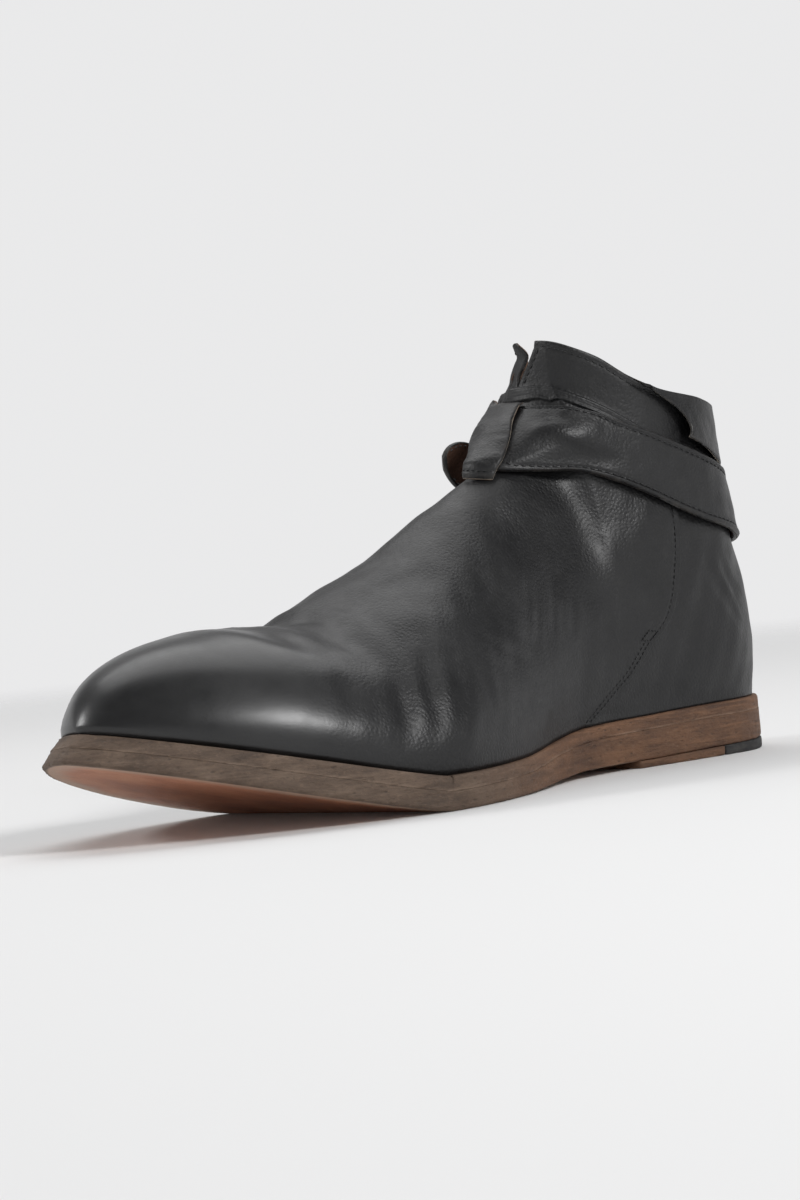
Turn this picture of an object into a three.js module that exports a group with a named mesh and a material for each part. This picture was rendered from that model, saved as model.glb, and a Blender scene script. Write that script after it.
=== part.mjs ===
// Low ankle boot with a wrap strap and keeper, left foot.
// Millimetres. +X runs to the toe, +Y to the wearer's left (outer side of the foot), +Z up.
import * as THREE from 'three';

// Driving sizes
const LENGTH = 300;
const BALL_WIDTH = 105;
const COLLAR_FRONT_HEIGHT = 146;
const WALL = 2.0;
const FIT_GAP = 0.3;
const SOLE_HEIGHT = 14.8;
const MIDSOLE = 4.6;
const TOE_SPRING = 26.2;
const SPRING_START = 0.665;
const SPRING_POWER = 1.16;
const TOE_SET_BACK = 4.2;
const HEEL_ROUND = 0.115;
const TOE_IN = 4.8;
const HEEL_IN = 1.6;
const SIDE_IN = 0.053;
const COLLAR_FRONT = 0.28;
const TOE_TOP = 0.75;
const HEEL_JOINT = 0.135;
const HEEL_BREAST = 0.275;
const STRAP_THICK = 2.1;
const STRAP_OFF = 1.4;
const STRIP_RISE = 0.8;
const KEEPER_WIDTH = 15.8;
const KEEPER_WIDENS = -0.27;
const KEEPER_THICK = 1.6;
const COLLAR_PIECE_THICK = 1.6;
const INSOLE_THICK = 2.6;

// Half outline of the sole on the outer side, along the length, as shares of the ball width
const OUTER_OUTLINE = {
  along: [0, 0.10, 0.20, 0.30, 0.36, 0.42, 0.48, 0.55, 0.60, 0.64, 1],
  share: [0.3048, 0.3067, 0.2952, 0.2762, 0.2914, 0.3381, 0.4095, 0.4857, 0.5238, 0.541, 0.541],
};
// Half outline on the inner side, as shares of the ball width
const INNER_OUTLINE = {
  along: [0, 0.12, 0.20, 0.30, 0.42, 0.50, 0.58, 0.66, 0.72, 1],
  share: [0.2952, 0.3095, 0.3095, 0.2952, 0.281, 0.3048, 0.3667, 0.4333, 0.4571, 0.4571],
};
// Underside of the outsole over the ground before the toe is sprung, as shares of the sole height
const UNDERSIDE = {
  along: [0, 0.20, 0.26, 0.36, 0.44, 0.52, 0.60, 1],
  share: [0.2703, 0.1959, 0.1689, 0.1622, 0.0811, 0.0068, 0, 0],
};
// Thickness of outsole and midsole together, as shares of the sole height
const THICKNESS = {
  along: [0, 0.15, 0.30, 0.42, 0.52, 0.62, 0.8, 1],
  share: [1, 1.0068, 0.9662, 0.8716, 0.7568, 0.7162, 0.7027, 0.6622],
};
// Line of the instep and toe top, as shares of the collar front height
const RIDGE = {
  along: [0.28, 0.2835, 0.2885, 0.2957, 0.308, 0.3307, 0.3565, 0.384, 0.417, 0.46,
    0.52, 0.58, 0.635, 0.68, 0.715, 0.76, 0.79, 0.83, 0.88, 1],
  share: [1, 0.9384, 0.8904, 0.8356, 0.7877, 0.7545, 0.729, 0.705, 0.6705, 0.6245,
    0.562, 0.511, 0.470, 0.433, 0.390, 0.3705, 0.3655, 0.3600, 0.3505, 0.337],
};
// Top edge of the collar, as shares of the collar front height
const COLLAR_EDGE = {
  along: [0, 0.05, 0.10, 0.16, 0.205, 0.24, 0.265, 0.28],
  share: [0.817, 0.8215, 0.839, 0.8645, 0.899, 0.9475, 0.9776, 1],
};
// Shape powers of the sections, upward and across
const SECTION_UP = { along: [0, 0.32, 0.45, 0.6, 0.75, 0.88, 1], share: [2.2, 2.2, 2.1, 2.15, 2.4, 2.7, 2.8] };
const SECTION_ACROSS = { along: [0, 0.45, 0.6, 0.75, 0.88, 1], share: [2, 2, 2, 2.1, 2.2, 2.2] };
// Width of heel and ankle by height, as shares of the feather line width
const ANKLE_WIDTH = {
  height: [0, 0.1233, 0.274, 0.4247, 0.5822, 0.7192, 0.8219, 1.0274],
  share: [1, 1, 1.05, 1.04, 0.975, 0.92, 0.90, 0.885],
};
// Set of the heel curve forward of the feather line, millimetres by share of the back height
const HEEL_CURVE = { height: [0, 0.15, 0.35, 0.5, 0.6, 0.7, 0.8, 1], set: [0, -1.0, 1.4, 5.8, 8.2, 9.8, 11.2, 11.6] };
// Swell of the upper over its feather line and sideways set of the ridge, millimetres along the length
const SWELL = { along: [0, 0.15, 0.3, 0.45, 0.65, 0.85, 1], set: [1.0, 1.2, 1.4, 1.6, 1.8, 1.5, 0.8] };
const RIDGE_SET = { along: [0, 0.3, 0.45, 0.7, 0.85, 1], set: [0, 0, -2, -4, -3.5, -2] };
// How fast the ridge is left behind as the rows of the upper climb
const ROW_RATE = { row: [0, 0.15, 0.3, 0.45, 0.6, 0.75, 0.85, 1], rate: [1.9, 2.2, 2.6, 2.5, 1.9, 1.15, 0.95, 0.92] };

// Top edge of the raised strip that ends the body, as shares of the collar front height
const STRIP_LINE = {
  along: [0, 0.04, 0.14, 0.19, 0.223, 0.253, 0.273, 0.29],
  share: [0.6712, 0.6781, 0.7055, 0.7500, 0.7965, 0.842, 0.870, 0.897],
};
// Edges of the wrap strap, as shares of the collar front height
const STRAP_LINES = {
  along: [0, 0.033, 0.083, 0.133, 0.18, 0.223, 0.257, 0.31, 0.36, 0.4],
  top: [0.6062, 0.6247, 0.6707, 0.7097, 0.746, 0.778, 0.803, 0.838, 0.8542, 0.861],
  bottom: [0.478, 0.489, 0.518, 0.5462, 0.5815, 0.620, 0.652, 0.688, 0.694, 0.704],
};

const clamp = (x, a, b) => Math.min(b, Math.max(a, x));
const smooth = (a, b, x) => {
  const t = clamp((x - a) / (b - a), 0, 1);
  return t * t * (3 - 2 * t);
};

// Monotone cubic through the points of a table
function curve(xs, ys, size = 1) {
  const n = xs.length;
  const h = [];
  const d = [];
  for (let k = 0; k < n - 1; k += 1) {
    h.push(xs[k + 1] - xs[k]);
    d.push((ys[k + 1] - ys[k]) / h[k]);
  }
  const m = new Array(n).fill(0);
  m[0] = d[0];
  m[n - 1] = d[n - 2];
  for (let k = 1; k < n - 1; k += 1) {
    if (d[k - 1] * d[k] > 0) {
      const a = 2 * h[k] + h[k - 1];
      const b = h[k] + 2 * h[k - 1];
      m[k] = (a + b) / (a / d[k - 1] + b / d[k]);
    }
  }
  return (x) => {
    const c = clamp(x, xs[0], xs[n - 1]);
    let k = 0;
    while (k < n - 2 && c >= xs[k + 1]) k += 1;
    const t = (c - xs[k]) / h[k];
    const t2 = t * t;
    const t3 = t2 * t;
    const from = ys[k] * (2 * t3 - 3 * t2 + 1) + m[k] * h[k] * (t3 - 2 * t2 + t);
    const to = ys[k + 1] * (-2 * t3 + 3 * t2) + m[k + 1] * h[k] * (t3 - t2);
    return size * (from + to);
  };
}

// Values of a rising or falling table read by straight lines
function lookup(x, xs, ys) {
  const rising = xs[xs.length - 1] > xs[0];
  let lo = 0;
  let hi = xs.length - 1;
  if (rising ? x <= xs[0] : x >= xs[0]) return ys[0];
  if (rising ? x >= xs[hi] : x <= xs[hi]) return ys[hi];
  while (hi - lo > 1) {
    const mid = (lo + hi) >> 1;
    if (rising ? xs[mid] <= x : xs[mid] >= x) lo = mid;
    else hi = mid;
  }
  return ys[lo] + ((ys[hi] - ys[lo]) * (x - xs[lo])) / (xs[hi] - xs[lo]);
}

const outerOutline = curve(OUTER_OUTLINE.along, OUTER_OUTLINE.share, BALL_WIDTH);
const innerOutline = curve(INNER_OUTLINE.along, INNER_OUTLINE.share, BALL_WIDTH);
const underside = curve(UNDERSIDE.along, UNDERSIDE.share, SOLE_HEIGHT);
const thickness = curve(THICKNESS.along, THICKNESS.share, SOLE_HEIGHT);
const ridgeLine = curve(RIDGE.along, RIDGE.share, COLLAR_FRONT_HEIGHT);
const collarEdge = curve(COLLAR_EDGE.along, COLLAR_EDGE.share, COLLAR_FRONT_HEIGHT);
const sectionUp = curve(SECTION_UP.along, SECTION_UP.share);
const sectionAcross = curve(SECTION_ACROSS.along, SECTION_ACROSS.share);
const ankleWidth = curve(ANKLE_WIDTH.height.map((h) => h * COLLAR_FRONT_HEIGHT), ANKLE_WIDTH.share);
const heelCurve = curve(HEEL_CURVE.height, HEEL_CURVE.set);
const swell = curve(SWELL.along, SWELL.set);
const ridgeSet = curve(RIDGE_SET.along, RIDGE_SET.set);
const stripLine = curve(STRIP_LINE.along, STRIP_LINE.share, COLLAR_FRONT_HEIGHT);
const strapTop = curve(STRAP_LINES.along, STRAP_LINES.top, COLLAR_FRONT_HEIGHT);
const strapBottom = curve(STRAP_LINES.along, STRAP_LINES.bottom, COLLAR_FRONT_HEIGHT);
const rowRate = curve(ROW_RATE.row, ROW_RATE.rate);
const TIP = 1 - TOE_IN / LENGTH;

// Half width of the sole at length x
function halfWidth(x, side) {
  const s = clamp(x / LENGTH, 0, 1);
  const heel = Math.sqrt(clamp(1 - (1 - clamp(s / HEEL_ROUND, 0, 1)) ** 2.2, 0, 1));
  if (side > 0) {
    const q = clamp((s - 0.64) / 0.36, 0, 1);
    return outerOutline(s) * heel * (1 - q ** 1.75) ** (1 / 1.45);
  }
  const q = clamp((s - 0.72) / 0.28, 0, 1);
  return innerOutline(s) * heel * (1 - q ** 2.3) ** (1 / 1.75);
}

// Rise of the ground line at the toe
function spring(x) {
  return TOE_SPRING * Math.max(0, (x / LENGTH - SPRING_START) / (1 - SPRING_START)) ** SPRING_POWER;
}

// Lays a point of the flat shoe on the sprung line; the reach softens the turn higher up
function bend(x, y, z, reach) {
  const w = 0.5 + reach * Math.max(0, z);
  const turn = Math.atan((spring(x + w) - spring(x - w)) / (2 * w));
  return new THREE.Vector3(x - z * Math.sin(turn), y, spring(x) + z * Math.cos(turn));
}

const soleTop = (s) => underside(s) + thickness(s);

// Height of the closed section at length x before springing
function ridgeHeight(s) {
  const q = clamp((s - TOE_TOP) / (TIP - TOE_TOP), 0, 1);
  return soleTop(s) + (ridgeLine(s) - soleTop(s)) * (1 - q ** 2.1) ** (1 / 1.95);
}

// Behind the collar front the closed section runs on above the collar edge
function sectionHeight(s) {
  const half = 0.5 * COLLAR_FRONT;
  const base = (s < COLLAR_FRONT ? COLLAR_FRONT_HEIGHT : ridgeHeight(s)) - soleTop(s);
  const open = s < half ? 0.92 : clamp(1 - clamp((s - half) / half, 0, 1) ** 2.3, 0, 0.92);
  return base / (1 - open) ** (1 / 2.2);
}

// Feather line half width of the upper
function upperWidth(x, side) {
  const s = clamp((x - HEEL_IN) / (LENGTH - HEEL_IN - TOE_IN), 0, 1);
  return Math.max(1e-4, halfWidth(LENGTH * s, side) * (1 - SIDE_IN));
}

// Outer face of the upper at length x and height z of the unsprung last
function upperAt(side, x, z) {
  const s = x / LENGTH;
  const q = clamp((z - soleTop(s)) / Math.max(sectionHeight(s), 1e-6), 0, 1);
  const w = upperWidth(x, side) * ankleWidth(z) ** (1 - smooth(0.35, 0.5, s));
  const t = clamp(q / 0.62, 0, 1);
  const full = swell(s) * 6.75 * t * (1 - t) ** 2 * clamp(w / 12, 0, 1);
  const y = w * (1 - q ** sectionUp(s)) ** (1 / sectionAcross(s)) + full;
  const back = heelCurve((z - 18) / 103) * clamp(1 - s / 0.36, 0, 1) ** 1.3;
  return bend(x + back, side * y + ridgeSet(s) * q ** 1.5, z, 0.55);
}

// The ridge by arc length from the collar front to the toe tip
const ridgeX = [];
const ridgeArc = [];
for (let k = 0; k <= 700; k += 1) {
  const t = k / 700;
  const s = COLLAR_FRONT + (TIP - COLLAR_FRONT) * (1 - (1 - t) ** 2.2);
  const x = s * LENGTH;
  const last = ridgeX.length - 1;
  const rise = last < 0 ? 0 : ridgeHeight(s) - ridgeHeight(ridgeX[last] / LENGTH);
  ridgeArc.push(last < 0 ? 0 : ridgeArc[last] + Math.hypot(x - ridgeX[last], rise));
  ridgeX.push(x);
}
const RIDGE_LENGTH = ridgeArc[ridgeArc.length - 1];
const rowAt = [];
const rowArc = [];
for (let k = 0; k <= 400; k += 1) {
  rowAt.push(k / 400);
  rowArc.push(k === 0 ? 0 : rowArc[k - 1] + (rowRate(k / 400) + rowRate((k - 1) / 400)) / 2);
}
const ROW_TOTAL = rowArc[400];
for (let k = 0; k <= 400; k += 1) rowArc[k] = 1 - rowArc[k] / ROW_TOTAL;
const ridgeOfRow = (v) => lookup(lookup(v, rowAt, rowArc) * RIDGE_LENGTH, ridgeArc, ridgeX);
function rowOfRidge(x) {
  if (x <= COLLAR_FRONT * LENGTH + 1e-6) return 1;
  return lookup(lookup(x, ridgeX, ridgeArc) / RIDGE_LENGTH, rowArc, rowAt);
}

// Outer face by share u from heel back to front and row v from feather line to collar
function upperPoint(side, u, v) {
  const x = HEEL_IN + ((ridgeOfRow(v) - HEEL_IN) * (1 - Math.cos(Math.PI * u))) / 2;
  const s = x / LENGTH;
  const f = clamp(v / Math.max(rowOfRidge(x), 1e-6), 0, 1);
  const top = (s <= COLLAR_FRONT + 1e-6 ? collarEdge(s) : ridgeHeight(s)) - soleTop(s);
  const k = smooth(COLLAR_FRONT, COLLAR_FRONT + 0.12, s);
  const g = f * (1 - k) + Math.sin((Math.PI * f) / 2) * k;
  return upperAt(side, x, soleTop(s) + top * g);
}

// Normals of a grid of points by its neighbours
function gridNormals(grid, wrap = false) {
  const rows = grid.length;
  const cols = grid[0].length;
  return grid.map((row, i) => row.map((p, j) => {
    const up = grid[Math.min(rows - 1, i + 1)][j].clone().sub(grid[Math.max(0, i - 1)][j]);
    const before = wrap && j === 0 ? cols - 2 : Math.max(0, j - 1);
    const after = wrap && j === cols - 1 ? 1 : Math.min(cols - 1, j + 1);
    const along = row[after].clone().sub(row[before]);
    return along.cross(up).normalize();
  }));
}

// Moves each point of a grid along its normal by an amount that may depend on row and column
function lift(grid, normals, amount) {
  const by = typeof amount === 'function' ? amount : () => amount;
  return grid.map((row, i) => row.map((p, j) => p.clone().addScaledVector(normals[i][j], by(i, j))));
}

// Turns vertices and triangles into a mesh whose faces look outward
function solid(name, vertices, triangles, material) {
  let volume = 0;
  const cross = new THREE.Vector3();
  triangles.forEach(([a, b, c]) => {
    cross.crossVectors(vertices[b], vertices[c]);
    volume += vertices[a].dot(cross);
  });
  const faces = volume < 0 ? triangles.map(([a, b, c]) => [a, c, b]) : triangles;
  const geometry = new THREE.BufferGeometry();
  const flat = vertices.flatMap((p) => [p.x, p.y, p.z]);
  geometry.setAttribute('position', new THREE.Float32BufferAttribute(flat, 3));
  geometry.setIndex(faces.flat());
  geometry.computeVertexNormals();
  const mesh = new THREE.Mesh(geometry, material);
  mesh.name = name;
  return mesh;
}

// Closes two grids, outer and inner face of a sheet, into one body.
// Up to the welded row the first and last columns are one line.
function sheet(name, outer, inner, material, welded = -1) {
  const rows = outer.length;
  const cols = outer[0].length;
  const vertices = [];
  const index = [outer, inner].map((grid) => grid.map((row, i) => {
    const ids = [];
    row.forEach((p, j) => {
      if (j === cols - 1 && i <= welded) ids.push(ids[0]);
      else ids.push(vertices.push(p) - 1);
    });
    return ids;
  }));
  const triangles = [];
  const quad = (a, b, c, d) => {
    const across = vertices[a].distanceTo(vertices[c]) <= vertices[b].distanceTo(vertices[d]);
    const pair = across ? [[a, b, c], [a, c, d]] : [[a, b, d], [b, c, d]];
    pair.forEach((t) => {
      if (new Set(t).size === 3) triangles.push(t);
    });
  };
  const [o, n] = index;
  for (let i = 0; i < rows - 1; i += 1) {
    for (let j = 0; j < cols - 1; j += 1) {
      quad(o[i][j], o[i][j + 1], o[i + 1][j + 1], o[i + 1][j]);
      quad(n[i][j], n[i + 1][j], n[i + 1][j + 1], n[i][j + 1]);
    }
    if (i >= welded) {
      quad(o[i][0], o[i + 1][0], n[i + 1][0], n[i][0]);
      quad(o[i][cols - 1], n[i][cols - 1], n[i + 1][cols - 1], o[i + 1][cols - 1]);
    }
  }
  for (let j = 0; j < cols - 1; j += 1) {
    quad(o[0][j], n[0][j], n[0][j + 1], o[0][j + 1]);
    quad(o[rows - 1][j], o[rows - 1][j + 1], n[rows - 1][j + 1], n[rows - 1][j]);
  }
  return solid(name, vertices, triangles, material);
}

// Stack of rings over a common set of stations, closed by strips across at both ends.
// Each level gives the inset from the outline, the height and the set back at the toe.
function plate(name, stations, levels, material, width = halfWidth, flatEnds = false) {
  const vertices = [];
  const last = stations.length - 1;
  const rings = levels.map((level) => {
    const place = (x, side) => {
      const s = x / LENGTH;
      const inset = level.inset * (flatEnds ? 1 : smooth(0, 0.02, s) * smooth(0, 0.02, 1 - s));
      const w = Math.max(0, width(x, side) - inset);
      const toe = (level.setBack || 0) * smooth(0.78, 1, s);
      const heel = flatEnds ? 0 : level.inset * (1 - smooth(0, 0.05, s));
      const front = flatEnds ? 0 : level.inset * smooth(0.95, 1, s);
      return vertices.push(bend(x + heel - front - toe, side * w, level.z(s), 0)) - 1;
    };
    const outer = stations.map((x) => place(x, 1));
    const inner = stations.map((x, k) => {
      const shared = width(x, -1) < 1e-3 && (k === 0 || k === last);
      return shared ? outer[k] : place(x, -1);
    });
    return { outer, inner };
  });
  const triangles = [];
  const quad = (a, b, c, d) => {
    [[a, b, c], [a, c, d]].forEach((t) => {
      if (new Set(t).size === 3) triangles.push(t);
    });
  };
  const top = rings[rings.length - 1];
  for (let k = 0; k < last; k += 1) {
    quad(rings[0].outer[k], rings[0].outer[k + 1], rings[0].inner[k + 1], rings[0].inner[k]);
    quad(top.outer[k], top.inner[k], top.inner[k + 1], top.outer[k + 1]);
  }
  for (let r = 0; r < rings.length - 1; r += 1) {
    const a = rings[r];
    const b = rings[r + 1];
    for (let k = 0; k < last; k += 1) {
      quad(a.outer[k], b.outer[k], b.outer[k + 1], a.outer[k + 1]);
      quad(a.inner[k], a.inner[k + 1], b.inner[k + 1], b.inner[k]);
    }
    [0, last].forEach((k) => {
      if (a.outer[k] === a.inner[k]) return;
      if (k === 0) quad(a.outer[k], a.inner[k], b.inner[k], b.outer[k]);
      else quad(a.outer[k], b.outer[k], b.inner[k], a.inner[k]);
    });
  }
  return solid(name, vertices, triangles, material);
}

const blackLeather = new THREE.MeshStandardMaterial({ color: 0x1d1d1f, roughness: 0.45 });
const soleLeather = new THREE.MeshStandardMaterial({ color: 0x8a6a4c, roughness: 0.8 });
const rubber = new THREE.MeshStandardMaterial({ color: 0x1a1a1a, roughness: 0.9 });
const liningLeather = new THREE.MeshStandardMaterial({ color: 0x9a6f50, roughness: 0.8 });

const group = new THREE.Group();
group.name = 'ankle_boot';

// Sole stack
const spread = (from, to, count) => Array.from({ length: count + 1 }, (_, k) => {
  return from + ((to - from) * (1 - Math.cos((Math.PI * k) / count))) / 2;
});
const fullStations = spread(0, LENGTH, 46);
const outsoleTop = (s) => soleTop(s) - MIDSOLE;
group.add(plate('outsole', fullStations, [
  { inset: 1.0, z: (s) => underside(s) },
  { inset: 0, z: (s) => underside(s) + 1.0 },
  { inset: 0, z: (s) => outsoleTop(s) - FIT_GAP, setBack: TOE_SET_BACK * 0.5 },
], soleLeather));
group.add(plate('midsole', fullStations, [
  { inset: 0.3, z: outsoleTop, setBack: TOE_SET_BACK * 0.5 },
  { inset: 0.3, z: (s) => soleTop(s) - 0.7, setBack: TOE_SET_BACK },
  { inset: 0.9, z: soleTop, setBack: TOE_SET_BACK },
], soleLeather));
const tipStations = spread(0, HEEL_JOINT * LENGTH * 2, 22).filter((x) => x < HEEL_JOINT * LENGTH - 0.5);
tipStations.push(HEEL_JOINT * LENGTH - FIT_GAP);
const heelLevels = [
  { inset: 0.5, z: () => 0 },
  { inset: 0.1, z: () => 0.6 },
  { inset: 0, z: (s) => underside(s) - FIT_GAP },
];
const heelWidth = (x, side) => halfWidth(x, side);
const tipLevels = heelLevels.map((level) => ({ ...level }));
group.add(plate('heel_rubber_tip', tipStations, tipLevels, rubber, heelWidth));
const liftStations = Array.from({ length: 11 }, (_, k) => {
  return LENGTH * (HEEL_JOINT + ((HEEL_BREAST - HEEL_JOINT) * k) / 10);
});
group.add(plate('heel_lift', liftStations, heelLevels, soleLeather, heelWidth, true));

// Insole inside the feather line
const insoleStations = spread(HEEL_IN + WALL + 1.2, LENGTH - TOE_IN - WALL - 6.5, 34);
const insoleWidth = (x, side) => {
  const end = Math.min(x - insoleStations[0], insoleStations[34] - x);
  if (end < 1e-6) return 0;
  const near = Math.sqrt(clamp(end / 9, 0, 1) * (2 - clamp(end / 9, 0, 1)));
  return Math.max(0.4, (upperWidth(x, side) - WALL - 1.0) * near);
};
group.add(plate('insole', insoleStations, [
  { inset: 0, z: (s) => soleTop(s) + FIT_GAP + 0.1 },
  { inset: 0, z: (s) => soleTop(s) + FIT_GAP + INSOLE_THICK },
], liningLeather, insoleWidth));

// Upper: rows from feather line to collar, with a raised strip along the top of the body
const upperRows = [0, 0.018, 0.042, 0.072, 0.106, 0.145, 0.187, 0.232, 0.28, 0.33, 0.38, 0.43, 0.485,
  0.54, 0.595, 0.65, 0.70, 0.748, 0.79, 0.826, 0.836, 0.866, 0.876, 0.905, 0.95, 1];
const SLIT_ROW = upperRows.indexOf(0.876);
const STRIP = [upperRows.indexOf(0.836), upperRows.indexOf(0.866)];
const HALF_COLS = 34;

// Row of the upper where it crosses a height line that depends on the length
function rowOnLine(side, u, line) {
  let lo = 0.25;
  let hi = 1;
  for (let k = 0; k < 30; k += 1) {
    const mid = (lo + hi) / 2;
    const p = upperPoint(side, u, mid);
    if (p.z < line(p.x)) lo = mid;
    else hi = mid;
  }
  return (lo + hi) / 2;
}
const onLine = (side, u, line) => upperPoint(side, u, rowOnLine(side, u, line));

// Moves the rows so that row 0.87 runs along the top edge of the strip
function bodyRow(side, u, v) {
  const at = rowOnLine(side, u, (x) => stripLine(x / LENGTH));
  if (v <= 0.55) return v;
  if (v <= 0.87) return 0.55 + ((v - 0.55) * (at - 0.55)) / 0.32;
  return at + ((v - 0.87) * (1 - at)) / 0.13;
}

// Front opening: the outer flap laps over, the inner flap is pinched in and curls at its top
function frontSet(side, u, v) {
  const c = (1 - Math.cos(Math.PI * u)) / 2;
  const open = smooth(0.876, 1, v);
  const apart = 0.7 * smooth(0.876, 0.9, v);
  const slant = -5.5 * smooth(0.74, 0.876, v) * (1 - open) + 1.2 * open;
  if (side > 0) return new THREE.Vector3(0.4 * open, slant + apart, 0).multiplyScalar(c ** 6);
  const pinch = smooth(0.82, 0.91, v);
  const curl = smooth(0.95, 1, v);
  const edge = 1 - Math.sqrt(clamp((1 - c) / 0.08, 0, 1));
  const front = slant + apart - 1.4 * smooth(0.876, 0.9, v) - 4.9 * curl;
  const y = pinch * (7.6 * smooth(0.62, 0.86, c) * (1 - edge) + front * edge);
  return new THREE.Vector3(2.6 * curl * c ** 12, y + slant * (1 - pinch) * c ** 6, 0);
}

function upperGrid(rows, cols) {
  return rows.map((v) => {
    const line = [];
    for (let j = -cols; j <= cols; j += 1) {
      const side = j <= 0 ? 1 : -1;
      const u = Math.abs(j) / cols;
      const p = upperPoint(side, u, bodyRow(side, u, v)).add(frontSet(side, u, v));
      p.z += (FIT_GAP + 0.12) * (1 - v);
      line.push(p);
    }
    return line;
  });
}
const base = upperGrid(upperRows, HALF_COLS);
const baseNormals = gridNormals(base);
base.forEach((row, i) => {
  if (i >= SLIT_ROW) return;
  const last = row.length - 1;
  const joined = baseNormals[i][0].clone().add(baseNormals[i][last]).normalize();
  baseNormals[i][0].copy(joined);
  baseNormals[i][last].copy(joined);
});
const outerFace = lift(base, baseNormals, (i) => (i >= STRIP[0] && i <= STRIP[1] ? STRIP_RISE : 0));
const innerFace = lift(base, baseNormals, -WALL);
innerFace[0].forEach((p, j) => {
  p.z = base[0][j].z;
});
group.add(sheet('upper', outerFace, innerFace, blackLeather, SLIT_ROW));

// Back collar piece: raw front edges slant forward and stand off the wall

const pieceRows = [0, 0.2, 0.45, 0.65, 0.8, 0.9, 1];
const PIECE_COLS = 15;
const pieceBase = pieceRows.map((r) => {
  const line = [];
  for (let j = -PIECE_COLS; j <= PIECE_COLS; j += 1) {
    const side = j <= 0 ? 1 : -1;
    const u = (Math.abs(j) / PIECE_COLS) * (0.458 + 0.2 * r ** 3.5 + 0.022 * (1 - r) ** 8);
    const low = upperPoint(side, u, 1);
    const bottom = strapTop(low.x / LENGTH) + 2.6;
    const top = low.z - 0.02;
    const p = onLine(side, u, () => bottom + (top - bottom) * r);
    p.z += 0.4 * r ** 3;
    line.push(p);
  }
  return line;
});
const pieceNormals = gridNormals(pieceBase);
const standOff = (i, j) => {
  const edge = smooth(0.62, 1, Math.abs(j - PIECE_COLS) / PIECE_COLS);
  return 1.3 + edge * (3.7 - 2.9 * pieceRows[i]);
};
group.add(sheet(
  'back_collar_piece',
  lift(pieceBase, pieceNormals, (i, j) => standOff(i, j) + COLLAR_PIECE_THICK),
  lift(pieceBase, pieceNormals, standOff),
  blackLeather,
));

// Wrap strap: from the end under the keeper round the outer side, heel and inner side to a free tip
const strapRows = [-1, -0.5, 0, 0.5, 1];
const STRAP_COLS = 44;
const STRAP_FREE = 11;
const strapBase = strapRows.map((w) => {
  const line = [];
  const height = (x) => {
    const s = x / LENGTH;
    return ((1 + w) * strapTop(s) + (1 - w) * strapBottom(s)) / 2;
  };
  for (let j = 0; j <= STRAP_COLS; j += 1) {
    const t = -0.13 + (1.62 * j) / STRAP_COLS;
    let side = 1;
    let u = 1 - t;
    if (t < 0) {
      side = -1;
      u = 1 + t;
    } else if (t > 1) {
      side = -1;
      u = t - 1;
    }
    line.push(onLine(side, u, height));
  }
  return line;
});
const strapNormals = gridNormals(strapBase);
// Across its width the strap runs straight where the wall is hollow
strapBase.forEach((row, i) => row.forEach((p, j) => {
  const share = (strapRows[i] + 1) / 2;
  const chord = strapBase[0][j].clone().lerp(strapBase[strapRows.length - 1][j], share);
  if (chord.sub(p).dot(strapNormals[i][j]) > 0) p.add(chord);
}));
const strapSpan = strapBase.map((row) => row[STRAP_COLS].clone());
strapRows.forEach((w, i) => {
  const from = strapSpan[i];
  const normal = new THREE.Vector3(0.06, -1, 0.05).normalize();
  for (let k = 1; k <= STRAP_FREE; k += 1) {
    const t = k / STRAP_FREE;
    const round = Math.sqrt(Math.max(0.02, 1 - clamp((t - 0.72) / 0.28, 0, 1) ** 2));
    const x = strapSpan[2].x + 47.2 * t;
    const z = strapSpan[2].z + 11.6 * t + w * 9.6 * round;
    const y = from.y + (strapSpan[2].y - from.y) * smooth(0, 0.4, t) + 1.0 * t;
    strapBase[i].push(new THREE.Vector3(x, y, z));
    const blend = smooth(0, 0.4, t);
    strapNormals[i].push(strapNormals[i][STRAP_COLS].clone().lerp(normal, blend).normalize());
  }
});
group.add(sheet(
  'wrap_strap',
  lift(strapBase, strapNormals, STRAP_OFF + STRAP_THICK),
  lift(strapBase, strapNormals, STRAP_OFF),
  blackLeather,
));

// Keeper: a band that climbs from the instep over the strap and back to the wall above it
function frontPoint(y, z) {
  const side = y < 0 ? -1 : 1;
  let lo = 45;
  let hi = 140;
  for (let k = 0; k < 40; k += 1) {
    const mid = (lo + hi) / 2;
    const open = ridgeHeight(Math.max(mid / LENGTH, COLLAR_FRONT + 1e-4)) < z && mid > COLLAR_FRONT * LENGTH;
    if (open || Math.abs(upperAt(side, mid, z).y) < Math.abs(y)) hi = mid;
    else lo = mid;
  }
  return upperAt(side, (lo + hi) / 2, z);
}
const keeperPath = [
  { z: 124.6, off: 2.4 }, { z: 124.1, off: 3.1 }, { z: 123.6, off: 3.9 }, { z: 122.8, off: 4.6 },
  { z: 117.9, off: 4.8 }, { z: 113.4, off: 4.9 }, { z: 108.7, off: 4.9 }, { z: 104.5, off: 4.9 },
  { z: 101.0, off: 4.9 }, { z: 99.9, off: 4.0 }, { z: 99.1, off: 2.5 }, { z: 98.4, off: 1.0 },
];
const keeperBase = keeperPath.map(({ z }) => {
  const line = [];
  const wide = KEEPER_WIDTH + KEEPER_WIDENS * (124 - z);
  const right = 0.5 + 0.262 * (124 - z);
  const tilt = 0.1 + 0.05 * smooth(-110, -99, -z);
  for (let j = 6; j >= 0; j -= 1) {
    const inward = (wide * j) / 6;
    line.push(frontPoint(right - inward, z + tilt * inward));
  }
  return line;
}).reverse();
const keeperNormals = gridNormals(keeperBase);
const KEEPER_STRAIGHT = [3, 8];
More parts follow.
